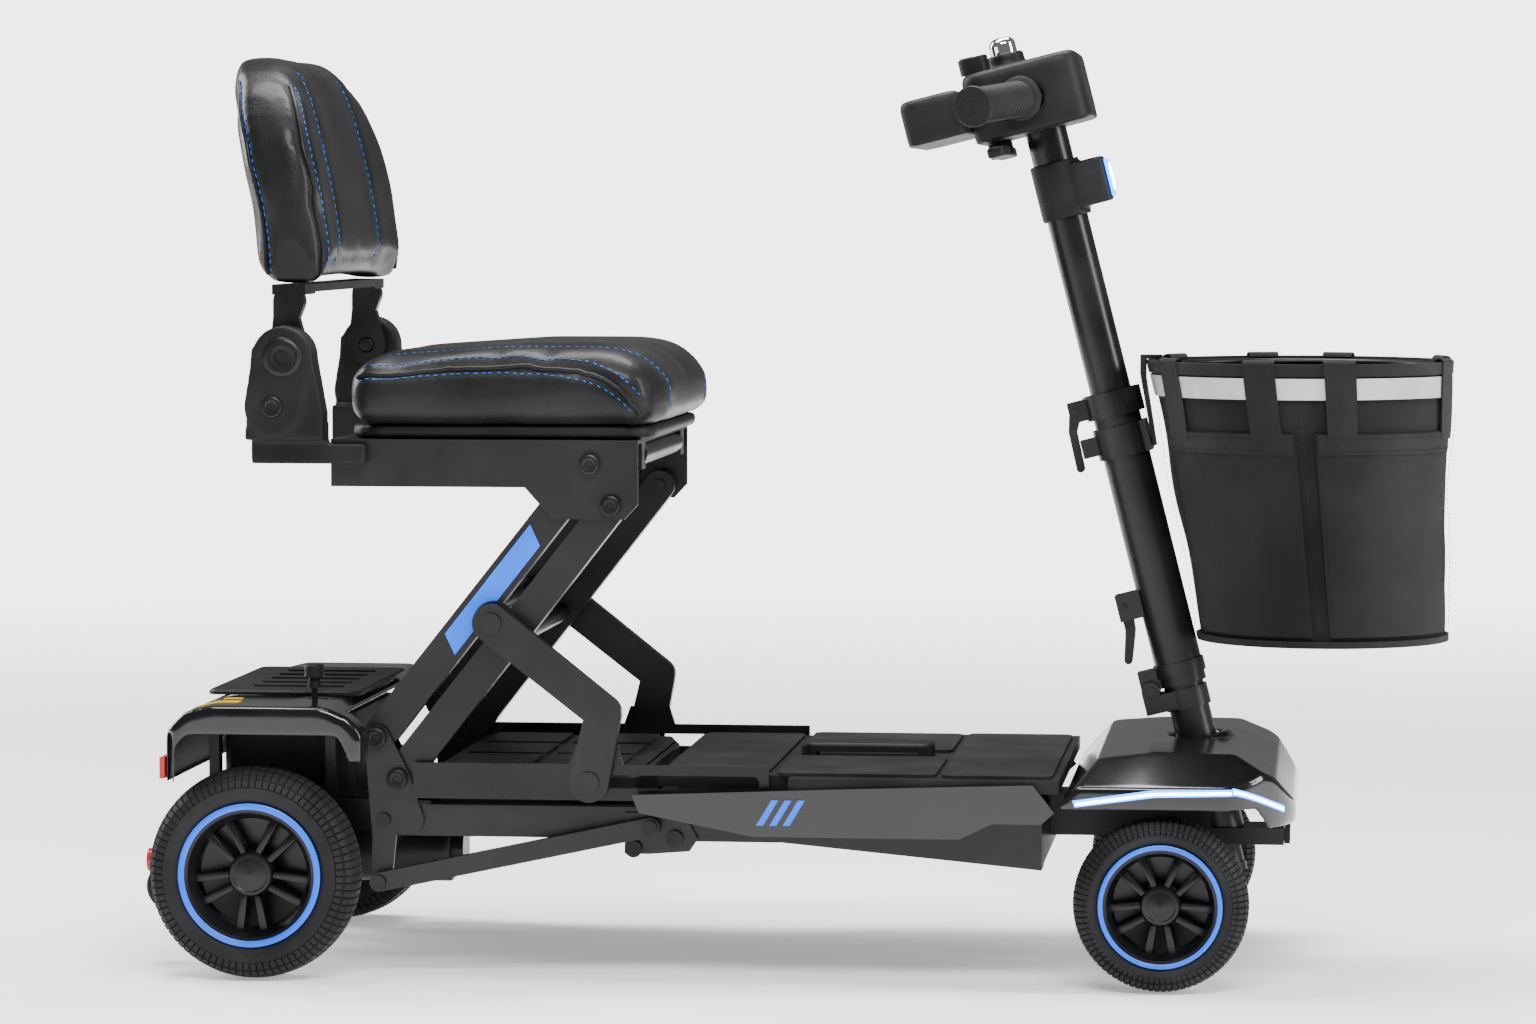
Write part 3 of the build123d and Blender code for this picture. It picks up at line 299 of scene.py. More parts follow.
def settle(piece):
    """Put a finished piece's origin at the frame's origin, unturned and unscaled."""
    bpy.ops.object.select_all(action="DESELECT")
    piece.select_set(True)
    bpy.context.view_layer.objects.active = piece
    bpy.ops.object.transform_apply(location=True, rotation=True, scale=True)


def dress(piece, finish, slot, body, *replaced):
    """Finish a piece: its material, the body it rides on and what it stands for; slot is not used."""
    piece.data.materials.clear()
    piece.data.materials.append(finish)
    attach(piece, body)
    if replaced:
        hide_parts(*replaced)
    bpy.ops.object.select_all(action="DESELECT")


tyre_rubber = make_finish(
    "tyre_rubber", (0.009, 0.009, 0.009), (0.020, 0.020, 0.021), 0.56, grain=600, depth=0.00015
)
rim_paint = make_finish(
    "rim_paint", (0.004, 0.004, 0.0045), (0.009, 0.009, 0.010), 0.28, metal=0.2, grain=900
)
blue_paint = make_finish("blue_paint", (0.0, 0.09, 0.75), (0.0, 0.13, 0.92), 0.3, grain=900, depth=0.00002)


def make_tyre(name, axle, radius, bead, inner, outer, turn, body, node):
    """Tyre with rows of raised blocks over the crown and down on to the shoulders."""
    width = outer - inner
    base = radius - 0.0016
    half = [
        (bead, 0.004),
        (bead + 0.0035, 0.0012),
        (bead + 0.009, 0.0),
        (bead + (radius - bead) * 0.45, 0.0),
        (base - 0.017, 0.0012),
        (base - 0.009, 0.0042),
        (base - 0.0035, 0.0105),
        (base - 0.0008, width * 0.33),
        (base, width * 0.5),
    ]
    section = [(r, inner + y) for r, y in half] + [(r, outer - y) for r, y in reversed(half[:-1])]
    tyre = turn_section(name, [(r, turn * y) for r, y in section], axle, 84)
    bpy.ops.object.select_all(action="DESELECT")
    tyre.select_set(True)
    bpy.context.view_layer.objects.active = tyre
    bpy.ops.object.mode_set(mode="EDIT")
    tread = bmesh.from_edit_mesh(tyre.data)
    for face in tread.faces:
        middle = face.calc_center_median()
        far = math.hypot(middle.x - axle[0], middle.z - axle[2])
        face.select = far > base - 0.014
    bmesh.update_edit_mesh(tyre.data)
    bpy.ops.mesh.inset(thickness=0.0009, depth=0.0015, use_individual=True)
    bpy.ops.mesh.select_all(action="DESELECT")
    bpy.ops.object.mode_set(mode="OBJECT")
    bpy.ops.object.shade_smooth_by_angle(angle=math.radians(28))
    dress(tyre, tyre_rubber, "tyre", body, node)


def make_rim(name, axle, ring_out, ring_in, dish, hub, inner, outer, turn, body, node):
    """Rim barrel with a turned lip, a back plate, paired spokes, the blue ring and the cap."""
    def across(y):
        return turn * y

    lip = outer - 0.001
    barrel = turn_section(
        name,
        [
            (ring_out - 0.0003, across(inner + 0.004)),
            (ring_out - 0.0003, across(lip - 0.002)),
            (ring_in, across(lip)),
            (ring_in - 0.003, across(lip - 0.001)),
            (dish + 0.003, across(outer - 0.009)),
            (dish, across(outer - 0.015)),
            (dish - 0.001, across(outer - 0.028)),
            (hub, across(outer - 0.032)),
            (hub, across(outer - 0.037)),
            (dish, across(outer - 0.034)),
            (dish + 0.001, across(inner + 0.004)),
        ],
        axle,
        72,
    )
    dress(barrel, rim_paint, "rim", body, node)
    ring = turn_section(
        name + "_ring",
        [
            (ring_out, across(lip - 0.0018)),
            (ring_out, across(lip + 0.0004)),
            (ring_out - 0.0012, across(lip + 0.0012)),
            (ring_in + 0.0012, across(lip + 0.0012)),
            (ring_in, across(lip + 0.0004)),
            (ring_in, across(lip - 0.0018)),
        ],
        axle,
        96,
    )
    dress(ring, blue_paint, "rim", body)
    cap = turn_section(
        name + "_cap",
        [
            (0.0004, across(outer - 0.03)),
            (hub, across(outer - 0.03)),
            (hub, across(outer - 0.0085)),
            (hub - 0.0015, across(outer - 0.0065)),
            (hub - 0.004, across(outer - 0.006)),
            (hub - 0.005, across(outer - 0.0068)),
            (hub - 0.0075, across(outer - 0.0062)),
            (0.0004, across(outer - 0.005)),
        ],
        axle,
        48,
    )
    dress(cap, rim_paint, "rim", body)
    for pair in range(5):
        for lean in (-1, 1):
            bpy.ops.mesh.primitive_cube_add(size=1)
            spoke = bpy.context.object
            spoke.name = f"{name}_spoke_{pair}_{'a' if lean < 0 else 'b'}"
            bpy.ops.object.mode_set(mode="EDIT")
            bar = bmesh.from_edit_mesh(spoke.data)
            for corner in bar.verts:
                out = corner.co.x > 0
                side_on = corner.co.z * 2
                front = corner.co.y > 0
                reach = dish + 0.001 if out else hub - 0.001
                sweep = lean * (0.0118 if out else 0.0062) + side_on * (0.0042 if out else 0.003)
                deep = outer - (0.0125 if out else 0.0092) if front else outer - 0.0225
                corner.co = Vector((reach, deep, sweep))
            bmesh.update_edit_mesh(spoke.data)
            bpy.ops.mesh.select_all(action="SELECT")
            bpy.ops.mesh.bevel(offset=0.0014, segments=2, affect="EDGES")
            bpy.ops.mesh.normals_make_consistent(inside=False)
            bpy.ops.object.mode_set(mode="OBJECT")
            turned = Matrix.Rotation(math.tau * pair / 5 + math.radians(18), 4, "Y")
            flip = Matrix.Diagonal((1, turn, 1, 1))
            spoke.data.transform(Matrix.Translation(Vector(axle)) @ flip @ turned)
            if turn < 0:
                spoke.data.flip_normals()
            bpy.ops.object.shade_smooth_by_angle(angle=math.radians(40))
            dress(spoke, rim_paint, "rim", body)


for side_name, turn in (("right", -1), ("left", 1)):
    for end, bead_r, ring_in_r, dish_r, hub_r in (
        ("rear", 0.0685, 0.0625, 0.053, 0.021),
        ("front", 0.058, 0.0535, 0.0458, 0.0187),
    ):
        low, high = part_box(f"{end}_tyre_{side_name}")
        axle_at = ((low[0] + high[0]) / 2, 0.0, (low[2] + high[2]) / 2)
        tyre_r = (high[2] - low[2]) / 2
        near, far = sorted((abs(low[1]), abs(high[1])))
        wheel = f"{end}_wheel_{side_name}"
        tyre_node = f"{end}_tyre_{side_name}"
        rim_node = f"{end}_rim_{side_name}"
        sizes_in = (bead_r, ring_in_r, dish_r, hub_r)
        make_tyre(f"{wheel}_tyre", axle_at, tyre_r, bead_r, near, far, turn, wheel, tyre_node)
        make_rim(f"{wheel}_rim", axle_at, *sizes_in, near, far, turn, wheel, rim_node)

# ---- Seat cushion and backrest ----
# Moulded foam under black synthetic leather: the covers are sewn from panels with corded
# seams and rows of blue top stitching, so they crown between the seams.
def make_leather(name):
    """Black synthetic leather: pebbled grain, soft creases and a low uneven sheen."""
    leather = make_finish(
        name, (0.005, 0.005, 0.0055), (0.012, 0.012, 0.013), 0.4, grain=420, depth=0.0003, coat=0.08
    )
    tree = leather.node_tree
    pebble = tree.nodes.new("ShaderNodeTexVoronoi")
    pebble.inputs["Scale"].default_value = 650
    place = next(node for node in tree.nodes if node.type == "TEX_COORD")
    bump = next(node for node in tree.nodes if node.type == "BUMP")
    second = tree.nodes.new("ShaderNodeBump")
    second.inputs["Strength"].default_value = 0.5
    second.inputs["Distance"].default_value = 0.0003
    tree.links.new(place.outputs["Object"], pebble.inputs["Vector"])
    tree.links.new(pebble.outputs["Distance"], second.inputs["Height"])
    tree.links.new(second.outputs["Normal"], bump.inputs["Normal"])
    return leather


leather = make_leather("seat_leather")
cord_leather = make_leather("piping_leather")
blue_thread = make_finish(
    "blue_thread", (0.0, 0.08, 0.45), (0.0, 0.14, 0.65), 0.5, grain=2500, depth=0.00005
)


def apply_all(piece):
    """Apply every modifier on a piece."""
    bpy.ops.object.select_all(action="DESELECT")
    piece.select_set(True)
    bpy.context.view_layer.objects.active = piece
    for modifier in list(piece.modifiers):
        bpy.ops.object.modifier_apply(modifier=modifier.name)


def voxel_skin(piece, size):
    """Rebuild a block as an even skin of small faces."""
    remesh = piece.modifiers.new("skin", "REMESH")
    remesh.mode = "VOXEL"
    remesh.voxel_size = size
    apply_all(piece)


def puff(piece, cap, pressure=4.0):
    """Blow a cover up like filled upholstery, and stop any point going further than the cap."""
    before = [vertex.co.copy() for vertex in piece.data.vertices]
    cloth = piece.modifiers.new("cloth", "CLOTH")
    cloth.settings.quality = 4
    cloth.settings.use_pressure = True
    cloth.settings.uniform_pressure_force = pressure
    cloth.settings.tension_stiffness = 18
    cloth.settings.compression_stiffness = 18
    cloth.settings.bending_stiffness = 1.2
    cloth.settings.effector_weights.gravity = 0
    cloth.collision_settings.use_collision = False
    cloth.point_cache.frame_start = 1
    cloth.point_cache.frame_end = 18
    for step in range(1, 19):
        bpy.context.scene.frame_set(step)
    apply_all(piece)
    bpy.context.scene.frame_set(1)
    for vertex, start in zip(piece.data.vertices, before):
        move = vertex.co - start
        if move.length > cap:
            vertex.co = start + move.normalized() * cap
    smooth = piece.modifiers.new("smooth", "SMOOTH")
    smooth.factor = 0.5
    smooth.iterations = 4
    apply_all(piece)


def ease(piece):
    """Let a sewn cover settle, so that its seams run in soft valleys."""
    settle_cover = piece.modifiers.new("ease", "SMOOTH")
    settle_cover.factor = 0.5
    settle_cover.iterations = 3
    apply_all(piece)


def lay_on(piece, corners, step=0.004):
    """Points along a smooth line through the corners, dropped on to the piece, with its normals."""
    line = []
    ends = [corners[0], *corners, corners[-1]]
    for a, b, c, d in zip(ends, ends[1:], ends[2:], ends[3:]):
        a, b, c, d = Vector(a), Vector(b), Vector(c), Vector(d)
        count = max(2, int((c - b).length / step))
        for index in range(count):
            t = index / count
            square = 2 * a - 5 * b + 4 * c - d
            cube = 3 * b - a - 3 * c + d
            line.append(0.5 * (2 * b + (c - a) * t + square * t**2 + cube * t**3))
    line.append(Vector(corners[-1]))
    laid = []
    for point in line:
        _, spot, normal, _ = piece.closest_point_on_mesh(point)
        laid.append((spot, normal))
    return laid


def draw_seam(piece, route, reach, depth):
    """Pull the cover in along a sewn line."""
    spots = [spot for spot, _ in route]
    for vertex in piece.data.vertices:
        near = min((vertex.co - spot).length_squared for spot in spots[::2])
        if near < reach * reach:
            fall = 1 - math.sqrt(near) / reach
            vertex.co -= vertex.normal * depth * fall * fall * (3 - 2 * fall)


def make_piping(name, route, radius, body, lift=0.0):
    """A round covered cord sewn along a seam."""
    data = bpy.data.curves.new(name, "CURVE")
    data.dimensions = "3D"
    data.bevel_depth = radius
    data.bevel_resolution = 3
    data.use_fill_caps = True
    spline = data.splines.new("POLY")
    picked = route[::2]
    spline.points.add(len(picked) - 1)
    for slot, (spot, normal) in zip(spline.points, picked):
        slot.co = (*(spot + normal * lift), 1)
    cord = bpy.data.objects.new(name, data)
    bpy.context.scene.collection.objects.link(cord)
    bpy.ops.object.select_all(action="DESELECT")
    cord.select_set(True)
    bpy.context.view_layer.objects.active = cord
    bpy.ops.object.convert(target="MESH")
    cord = bpy.context.object
    bpy.ops.object.shade_smooth()
    dress(cord, cord_leather, "cushion", body)
    return cord


def make_stitches(name, route, body, spacing=0.0075, size=0.0048, radius=0.00055):
    """A row of short thread stitches lying just proud of the cover."""
    row = bmesh.new()
    gone = 0.0
    wait = spacing
    for (here, normal), (there, _) in zip(route, route[1:]):
        run = (there - here).length
        gone += run
        if gone < wait or run < 1e-6:
            continue
        wait += spacing
        along = (there - here).normalized()
        side = normal.cross(along).normalized()
        turned = Matrix((along, side, side.cross(along) * -1)).transposed().to_4x4()
        shape = Matrix.Diagonal((size / 2, radius, radius, 1))
        place = Matrix.Translation(here + normal * 0.0004)
        bmesh.ops.create_icosphere(row, subdivisions=1, radius=1, matrix=place @ turned @ shape)
    bmesh.ops.recalc_face_normals(row, faces=row.faces)
    data = bpy.data.meshes.new(name)
    row.to_mesh(data)
    row.free()
    stitches = bpy.data.objects.new(name, data)
    bpy.context.scene.collection.objects.link(stitches)
    dress(stitches, blue_thread, "cushion", body)


def mirrored(corners):
    """The same line on the other side of the scooter."""
    return [(x, -y, z) for x, y, z in corners]


low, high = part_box("seat_cushion")
seat_mid = (low + high) / 2
bpy.ops.mesh.primitive_cube_add(size=1, location=seat_mid)
cushion = bpy.context.object
cushion.name = "seat_cushion_cover"
cushion.scale = (high[0] - low[0] - 0.014, high[1] - low[1] - 0.012, high[2] - low[2] - 0.006)
cushion.location.z -= 0.005
settle(cushion)
bpy.ops.object.mode_set(mode="EDIT")
bpy.ops.mesh.select_all(action="SELECT")
bpy.ops.mesh.bevel(offset=0.024, segments=5, affect="EDGES")
bpy.ops.object.mode_set(mode="OBJECT")
voxel_skin(cushion, 0.006)
waterfall_run = 0.085
waterfall_start = high[0] - waterfall_run
for vertex in cushion.data.vertices:
    up = (vertex.co.z - low[2]) / (high[2] - low[2])
    if vertex.co.x > waterfall_start:
        gone = (vertex.co.x - waterfall_start) / waterfall_run
        vertex.co.z -= 0.026 * gone**2.2 * max(0.0, up)
    back = max(0.0, (seat_mid[0] - vertex.co.x) / 0.16)
    vertex.co.z -= 0.012 * back * up
    edge = max(0.0, abs(vertex.co.y) / 0.205)
    vertex.co.z -= 0.008 * edge**4 * up
    corner_in = max(0.0, edge - 0.72) * max(0.0, (vertex.co.x - waterfall_start) / waterfall_run)
    vertex.co.x -= corner_in * 0.09
puff(cushion, 0.006)
pan_low, pan_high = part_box("seat_shell")
pan_edge = 0.012
pan_reach = 0.56
for vertex in cushion.data.vertices:
    over_pan = pan_low[0] + pan_edge < vertex.co.x < pan_high[0] - pan_edge
    over_pan = over_pan and abs(vertex.co.y) < pan_high[1] - pan_edge
    if over_pan and vertex.co.z < pan_reach:
        vertex.co.z = max(vertex.co.z, pan_high[2] + 0.0006)
side_seam = [
    (-0.421, -0.196, 0.584),
    (-0.36, -0.203, 0.590),
    (-0.28, -0.204, 0.594),
    (-0.21, -0.204, 0.588),
    (-0.165, -0.203, 0.571),
    (-0.138, -0.200, 0.548),
    (-0.128, -0.194, 0.532),
]
top_seam = [
    (-0.42, -0.145, 0.592),
    (-0.33, -0.147, 0.600),
    (-0.22, -0.148, 0.606),
    (-0.15, -0.146, 0.594),
    (-0.112, -0.138, 0.570),
    (-0.104, -0.13, 0.545),
]
stitch_low = [(x, y, z - 0.009) for x, y, z in side_seam[:-1]]
stitch_high = [(x + 0.004, y + 0.012, z + 0.008) for x, y, z in side_seam[:-1]]
for side_name, flip in (("right", False), ("left", True)):
    route = lay_on(cushion, mirrored(side_seam) if flip else side_seam)
    draw_seam(cushion, route, 0.012, 0.003)
    top_route = lay_on(cushion, mirrored(top_seam) if flip else top_seam)
    draw_seam(cushion, top_route, 0.014, 0.0035)
ease(cushion)
subdivide = cushion.modifiers.new("fine", "SUBSURF")
subdivide.levels = 1
subdivide.render_levels = 1
apply_all(cushion)
bpy.ops.object.shade_smooth()
dress(cushion, leather, "cushion", "seat", "seat_cushion")
for side_name, flip in (("right", False), ("left", True)):
    route = lay_on(cushion, mirrored(side_seam) if flip else side_seam)
    make_piping(f"seat_piping_{side_name}", route, 0.0024, "seat", 0.0006)
    for row_name, row in (("low", stitch_low), ("high", stitch_high), ("top", top_seam)):
        row_route = lay_on(cushion, mirrored(row) if flip else row, 0.0015)
        make_stitches(f"seat_stitches_{row_name}_{side_name}", row_route, "seat")

# The backrest cover leans back and has a wide rounded top.
low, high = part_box("backrest_pad")
bpy.ops.mesh.primitive_cube_add(size=1, location=((low[0] + high[0]) / 2, 0, (low[2] + high[2]) / 2))
backrest = bpy.context.object
backrest.name = "backrest_cover"
backrest.scale = (0.058, high[1] - low[1] - 0.012, high[2] - low[2] - 0.008)
settle(backrest)
bpy.ops.object.mode_set(mode="EDIT")
bpy.ops.mesh.select_all(action="DESELECT")
slab_mesh = bmesh.from_edit_mesh(backrest.data)
for edge in slab_mesh.edges:
    a, b = edge.verts
    edge.select = a.co.z > 0.8 and b.co.z > 0.8 and abs(a.co.x - b.co.x) > 0.01
bmesh.update_edit_mesh(backrest.data)
bpy.ops.mesh.bevel(offset=0.12, segments=9, affect="EDGES")
bpy.ops.mesh.select_all(action="DESELECT")
slab_mesh = bmesh.from_edit_mesh(backrest.data)
for edge in slab_mesh.edges:
    a, b = edge.verts
    edge.select = abs(a.co.x - b.co.x) < 0.001
bmesh.update_edit_mesh(backrest.data)
bpy.ops.mesh.bevel(offset=0.016, segments=4, affect="EDGES")
bpy.ops.object.mode_set(mode="OBJECT")
voxel_skin(backrest, 0.006)
pad_mid = (low[0] + high[0]) / 2
for vertex in backrest.data.vertices:
    rise = (vertex.co.z - low[2]) / (high[2] - low[2])
    lean = -0.4675 - 0.020 * rise - 0.031 * rise**2.2
    front = vertex.co.x > pad_mid
    vertex.co.x += lean - pad_mid
    across = abs(vertex.co.y) / 0.21
    vertex.co.y *= 1 - 0.05 * max(0.0, 0.35 - rise) - 0.02 * rise**3
    vertex.co.x += (0.010 if front else 0.002) * across**3
puff(backrest, 0.006)
foot = min(vertex.co.z for vertex in backrest.data.vertices)
for vertex in backrest.data.vertices:
    rise = (vertex.co.z - low[2]) / (high[2] - low[2])
    vertex.co.z -= (foot - low[2] - 0.0006) * (1 - rise)
front_seams = {
    "mid": [(-0.41, -0.098, 0.668), (-0.42, -0.098, 0.74), (-0.44, -0.096, 0.82), (-0.462, -0.088, 0.874)],
    "side": [
        (-0.418, -0.190, 0.664),
        (-0.425, -0.200, 0.74),
        (-0.444, -0.194, 0.80),
        (-0.466, -0.152, 0.858),
    ],
}
rear_seam = [
    (-0.498, -0.196, 0.664),
    (-0.516, -0.206, 0.74),
    (-0.536, -0.198, 0.80),
    (-0.556, -0.155, 0.860),
]
band = [(-0.42, y, 0.676) for y in (-0.19, -0.1, 0.0, 0.1, 0.19)]
for flip in (False, True):
    for corners in (*front_seams.values(), rear_seam):
        draw_seam(backrest, lay_on(backrest, mirrored(corners) if flip else corners), 0.013, 0.003)
draw_seam(backrest, lay_on(backrest, band), 0.010, 0.002)
ease(backrest)
subdivide = backrest.modifiers.new("fine", "SUBSURF")
subdivide.levels = 1
subdivide.render_levels = 1
apply_all(backrest)
bpy.ops.object.shade_smooth()
dress(backrest, leather, "cushion", "backrest", "backrest_pad")
for side_name, flip in (("right", False), ("left", True)):
    for seam_name, corners in (("front", front_seams["side"]), ("rear", rear_seam)):
        route = lay_on(backrest, mirrored(corners) if flip else corners)
        make_piping(f"back_piping_{seam_name}_{side_name}", route, 0.0022, "backrest", 0.0005)
    inner = [(x, y + 0.010, z) for x, y, z in front_seams["side"]]
    behind = [(x + 0.01, y, z) for x, y, z in rear_seam]
    for row_name, row in (("mid", front_seams["mid"]), ("side", inner), ("rear", behind)):
        row_route = lay_on(backrest, mirrored(row) if flip else row, 0.0015)
        make_stitches(f"back_stitches_{row_name}_{side_name}", row_route, "backrest")

# ---- Rear mudguard, nose cowl and small mouldings ----
# The mouldings have generous soft radii, so each one is drawn again from its frame part
# as an even skin and relaxed until the edges round over.
def soften(node, name, finish, slot, body, voxel=0.002, rounds=12):
    """A soft-edged moulding in place of a sharp-edged frame part."""
    source = nodes[node]
    piece = bpy.data.objects.new(name, source.data.copy())
    bpy.context.scene.collection.objects.link(piece)
    bpy.ops.object.select_all(action="DESELECT")
    piece.select_set(True)
    bpy.context.view_layer.objects.active = piece
    bpy.ops.object.mode_set(mode="EDIT")
    bpy.ops.mesh.select_all(action="SELECT")
    bpy.ops.mesh.remove_doubles(threshold=0.00002)
    bpy.ops.mesh.select_all(action="DESELECT")
    bpy.ops.object.mode_set(mode="OBJECT")
    voxel_skin(piece, voxel)
    relax = piece.modifiers.new("relax", "SMOOTH")
    relax.factor = 0.5
    relax.iterations = rounds
    apply_all(piece)
    bpy.ops.object.shade_smooth()
    dress(piece, finish, slot, body, node)
    return piece


rear_guard = soften("rear_cover", "rear_mudguard", gloss_black, "cover", "chassis", 0.0022, 34)
front_cowl = soften("front_cover", "front_cowl", gloss_black, "cover", "chassis", 0.0022, 16)
seat_pan = soften("seat_shell", "seat_pan", moulded, "trim", "seat", 0.003, 14)
for vertex in seat_pan.data.vertices:
    vertex.co.x = -0.270 + (vertex.co.x + 0.270) * 0.93
    vertex.co.y *= 0.93
soften("head_shell", "head_casing", moulded, "trim", "mast", 0.002, 22)
soften("dash_panel", "dash_casing", moulded, "trim", "mast", 0.002, 26)
soften("headlamp_housing", "headlamp_casing", moulded, "trim", "mast", 0.0015, 10)
soften("seat_hinges", "hinge_housings", moulded, "trim", "seat", 0.002, 10)
soften("throttle_paddle", "throttle_lever", moulded, "trim", "throttle", 0.0016, 6)


def make_plate(name, points_of, columns, rows, thick, finish, slot, body):
    """A thin closed sheet: a grid laid on points_of(u, v), u and v from 0 to 1, then thickened."""
    bpy.ops.mesh.primitive_grid_add(x_subdivisions=columns, y_subdivisions=rows, size=1)
    sheet = bpy.context.object
    sheet.name = name
    for vertex in sheet.data.vertices:
        vertex.co = Vector(points_of(vertex.co.x + 0.5, vertex.co.y + 0.5))
    bpy.ops.object.mode_set(mode="EDIT")
    bpy.ops.mesh.select_all(action="SELECT")
    bpy.ops.mesh.remove_doubles(threshold=0.00005)
    bpy.ops.mesh.select_all(action="DESELECT")
    bpy.ops.object.mode_set(mode="OBJECT")
    wall = sheet.modifiers.new("wall", "SOLIDIFY")
    wall.thickness = thick
    wall.offset = 0
    apply_all(sheet)
    bpy.ops.object.mode_set(mode="EDIT")
    bpy.ops.mesh.select_all(action="SELECT")
    bpy.ops.mesh.normals_make_consistent(inside=False)
    bpy.ops.mesh.select_all(action="DESELECT")
    bpy.ops.object.mode_set(mode="OBJECT")
    bpy.ops.object.shade_smooth_by_angle(angle=math.radians(40))
    dress(sheet, finish, slot, body)
    return sheet


yellow_label = make_finish(
    "yellow_label", (0.62, 0.36, 0.0), (0.75, 0.47, 0.01), 0.4, grain=600, depth=0.00002
)
guard_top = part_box("rear_cover")[1][2]
yellow_patches = ((-0.541, -0.192, 0.044, 0.016), (-0.532, -0.160, 0.018, 0.009))
for number, (patch_x, patch_y, long, wide) in enumerate(yellow_patches):

    def on_guard(u, v):
        spot = Vector((patch_x + (u - 0.5) * long, patch_y + (v - 0.5) * wide, guard_top + 0.02))
        hit, place, normal, _ = rear_guard.ray_cast(spot, Vector((0, 0, -1)))
        return place + normal * 0.0003 if hit else spot

    make_plate(f"yellow_label_{number}", on_guard, 10, 6, 0.0005, yellow_label, "trim", "chassis")


# ---- Pivot bolts ----
# Button-head bolts with a chamfered edge and a socket at the ends of the link bars, and
# the same heads, larger, over the backrest hinges.
def bolt_face(name, place, seat, radius, body):
    """Raised head over a pivot: a chamfered disc with a socket in the middle."""
    for side_name, turn in (("right", -1), ("left", 1)):
        socket = radius * 0.36
        section = [
            (0.0004, seat + 0.0004),
            (socket, seat + 0.0004),
            (socket + 0.0003, seat + 0.0022),
            (radius * 0.62, seat + 0.0026),
            (radius * 0.66, seat + 0.0018),
            (radius * 0.76, seat + 0.0018),
            (radius * 0.80, seat + 0.0026),
            (radius * 0.94, seat + 0.0020),
            (radius, seat + 0.0008),
            (radius, seat - 0.0010),
            (0.0004, seat - 0.0010),
        ]
        turned = [(r, turn * y) for r, y in section]
        head = turn_section(f"{name}_{side_name}", turned, (place[0], 0, place[1]), 36)
        dress(head, black_oxide, "dark_steel", body)


bolt_face("hinge_disc", (-0.468, 0.592), 0.231, 0.0185, "seat")
bolt_face("hinge_lower_disc", (-0.478, 0.545), 0.231, 0.0105, "seat")
for bolt_name, bolt_place, bolt_body in (
    ("lower_front_bolt", (-0.388, 0.229), "links_upper"),
    ("lower_rear_bolt", (-0.368, 0.190), "links_lower"),
    ("upper_rear_bolt", (-0.1825, 0.4905), "links_upper"),
    ("upper_front_bolt", (-0.1625, 0.4515), "links_lower"),
):
    bolt_face(bolt_name, bolt_place, 0.1899, 0.0098, bolt_body)


# ---- Lamps ----
# Light strips let into both sides of the nose, and a square headlamp: diffusing lenses
# that glow white in the middle and blue at the edges.
def make_glow(name, colour, strength):
    """A lit diffuser with a faint moulded ripple."""
    glow = make_finish(name, colour, colour, 0.25, grain=300, depth=0.00005)
    shader = glow.node_tree.nodes["Principled BSDF"]
    shader.inputs["Emission Color"].default_value = (*colour, 1)
    shader.inputs["Emission Strength"].default_value = strength
    return glow


blue_glow = make_glow("blue_glow", (0.01, 0.22, 1.0), 5.0)
white_glow = make_glow("white_glow", (0.72, 0.90, 1.0), 14.0)
paint_nodes(blue_glow, "led_strips")
strip_low, strip_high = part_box("led_strips")
for side_name, turn in (("right", -1), ("left", 1)):

    def on_strip(u, v):
        along = strip_low[0] + 0.003 + u * (strip_high[0] - strip_low[0] - 0.004)
        rise = min(1.0, (along - 0.277) / 0.074)
        middle = 0.1785 + 0.0105 * rise + 0.0018 * max(0.0, (along - 0.351) / 0.073)
        return (along, turn * 0.2282, middle + (v - 0.5) * 0.0026)

    make_plate(f"light_strip_core_{side_name}", on_strip, 40, 3, 0.0012, white_glow, "led", "chassis")

    for part, start, run, tall, proud, thick, rows, glow in (
        ("", 0.424, 0.046, 0.0062, 0.0010, 0.0016, 4, blue_glow),
        ("core_", 0.4245, 0.0445, 0.0026, 0.0020, 0.0014, 3, white_glow),
    ):

        def on_nose(u, v):
            along = start + u * run
            from_side = Vector((along, turn * 0.3, 0.1912 - 0.020 * u**1.4 + (v - 0.5) * tall))
            hit, place, normal, _ = front_cowl.ray_cast(from_side, Vector((0, -turn, 0)))
            return place + normal * proud if hit else (along, turn * 0.21, 0.19)

        make_plate(f"light_strip_nose_{part}{side_name}", on_nose, 16, rows, thick, glow, "led", "chassis")

paint_nodes(blue_glow, "headlamp_lens")
stem_lean = math.radians(14.2)
stem_frame = Matrix(
    (
        (math.cos(stem_lean), 0, -math.sin(stem_lean), 0.3717),
        (0, 1, 0, 0),
        (math.sin(stem_lean), 0, math.cos(stem_lean), 0.2718),
        (0, 0, 0, 1),
    )
)


def on_lens(u, v):
    """Slightly domed face a hair in front of the headlamp's lens."""
    a, b = 2 * u - 1, 2 * v - 1
    square = max(abs(a), abs(b), 1e-6) / max(math.hypot(a, b) ** 0.55 * max(abs(a), abs(b)) ** 0.45, 1e-6)
    dome = 0.0015 * (1 - a * a) * (1 - b * b)
    return stem_frame @ Vector((0.0514 + dome, a * 0.0135 * square, 0.493 + b * 0.0135 * square))


make_plate("headlamp_glow", on_lens, 16, 16, 0.0006, white_glow, "lens", "mast")


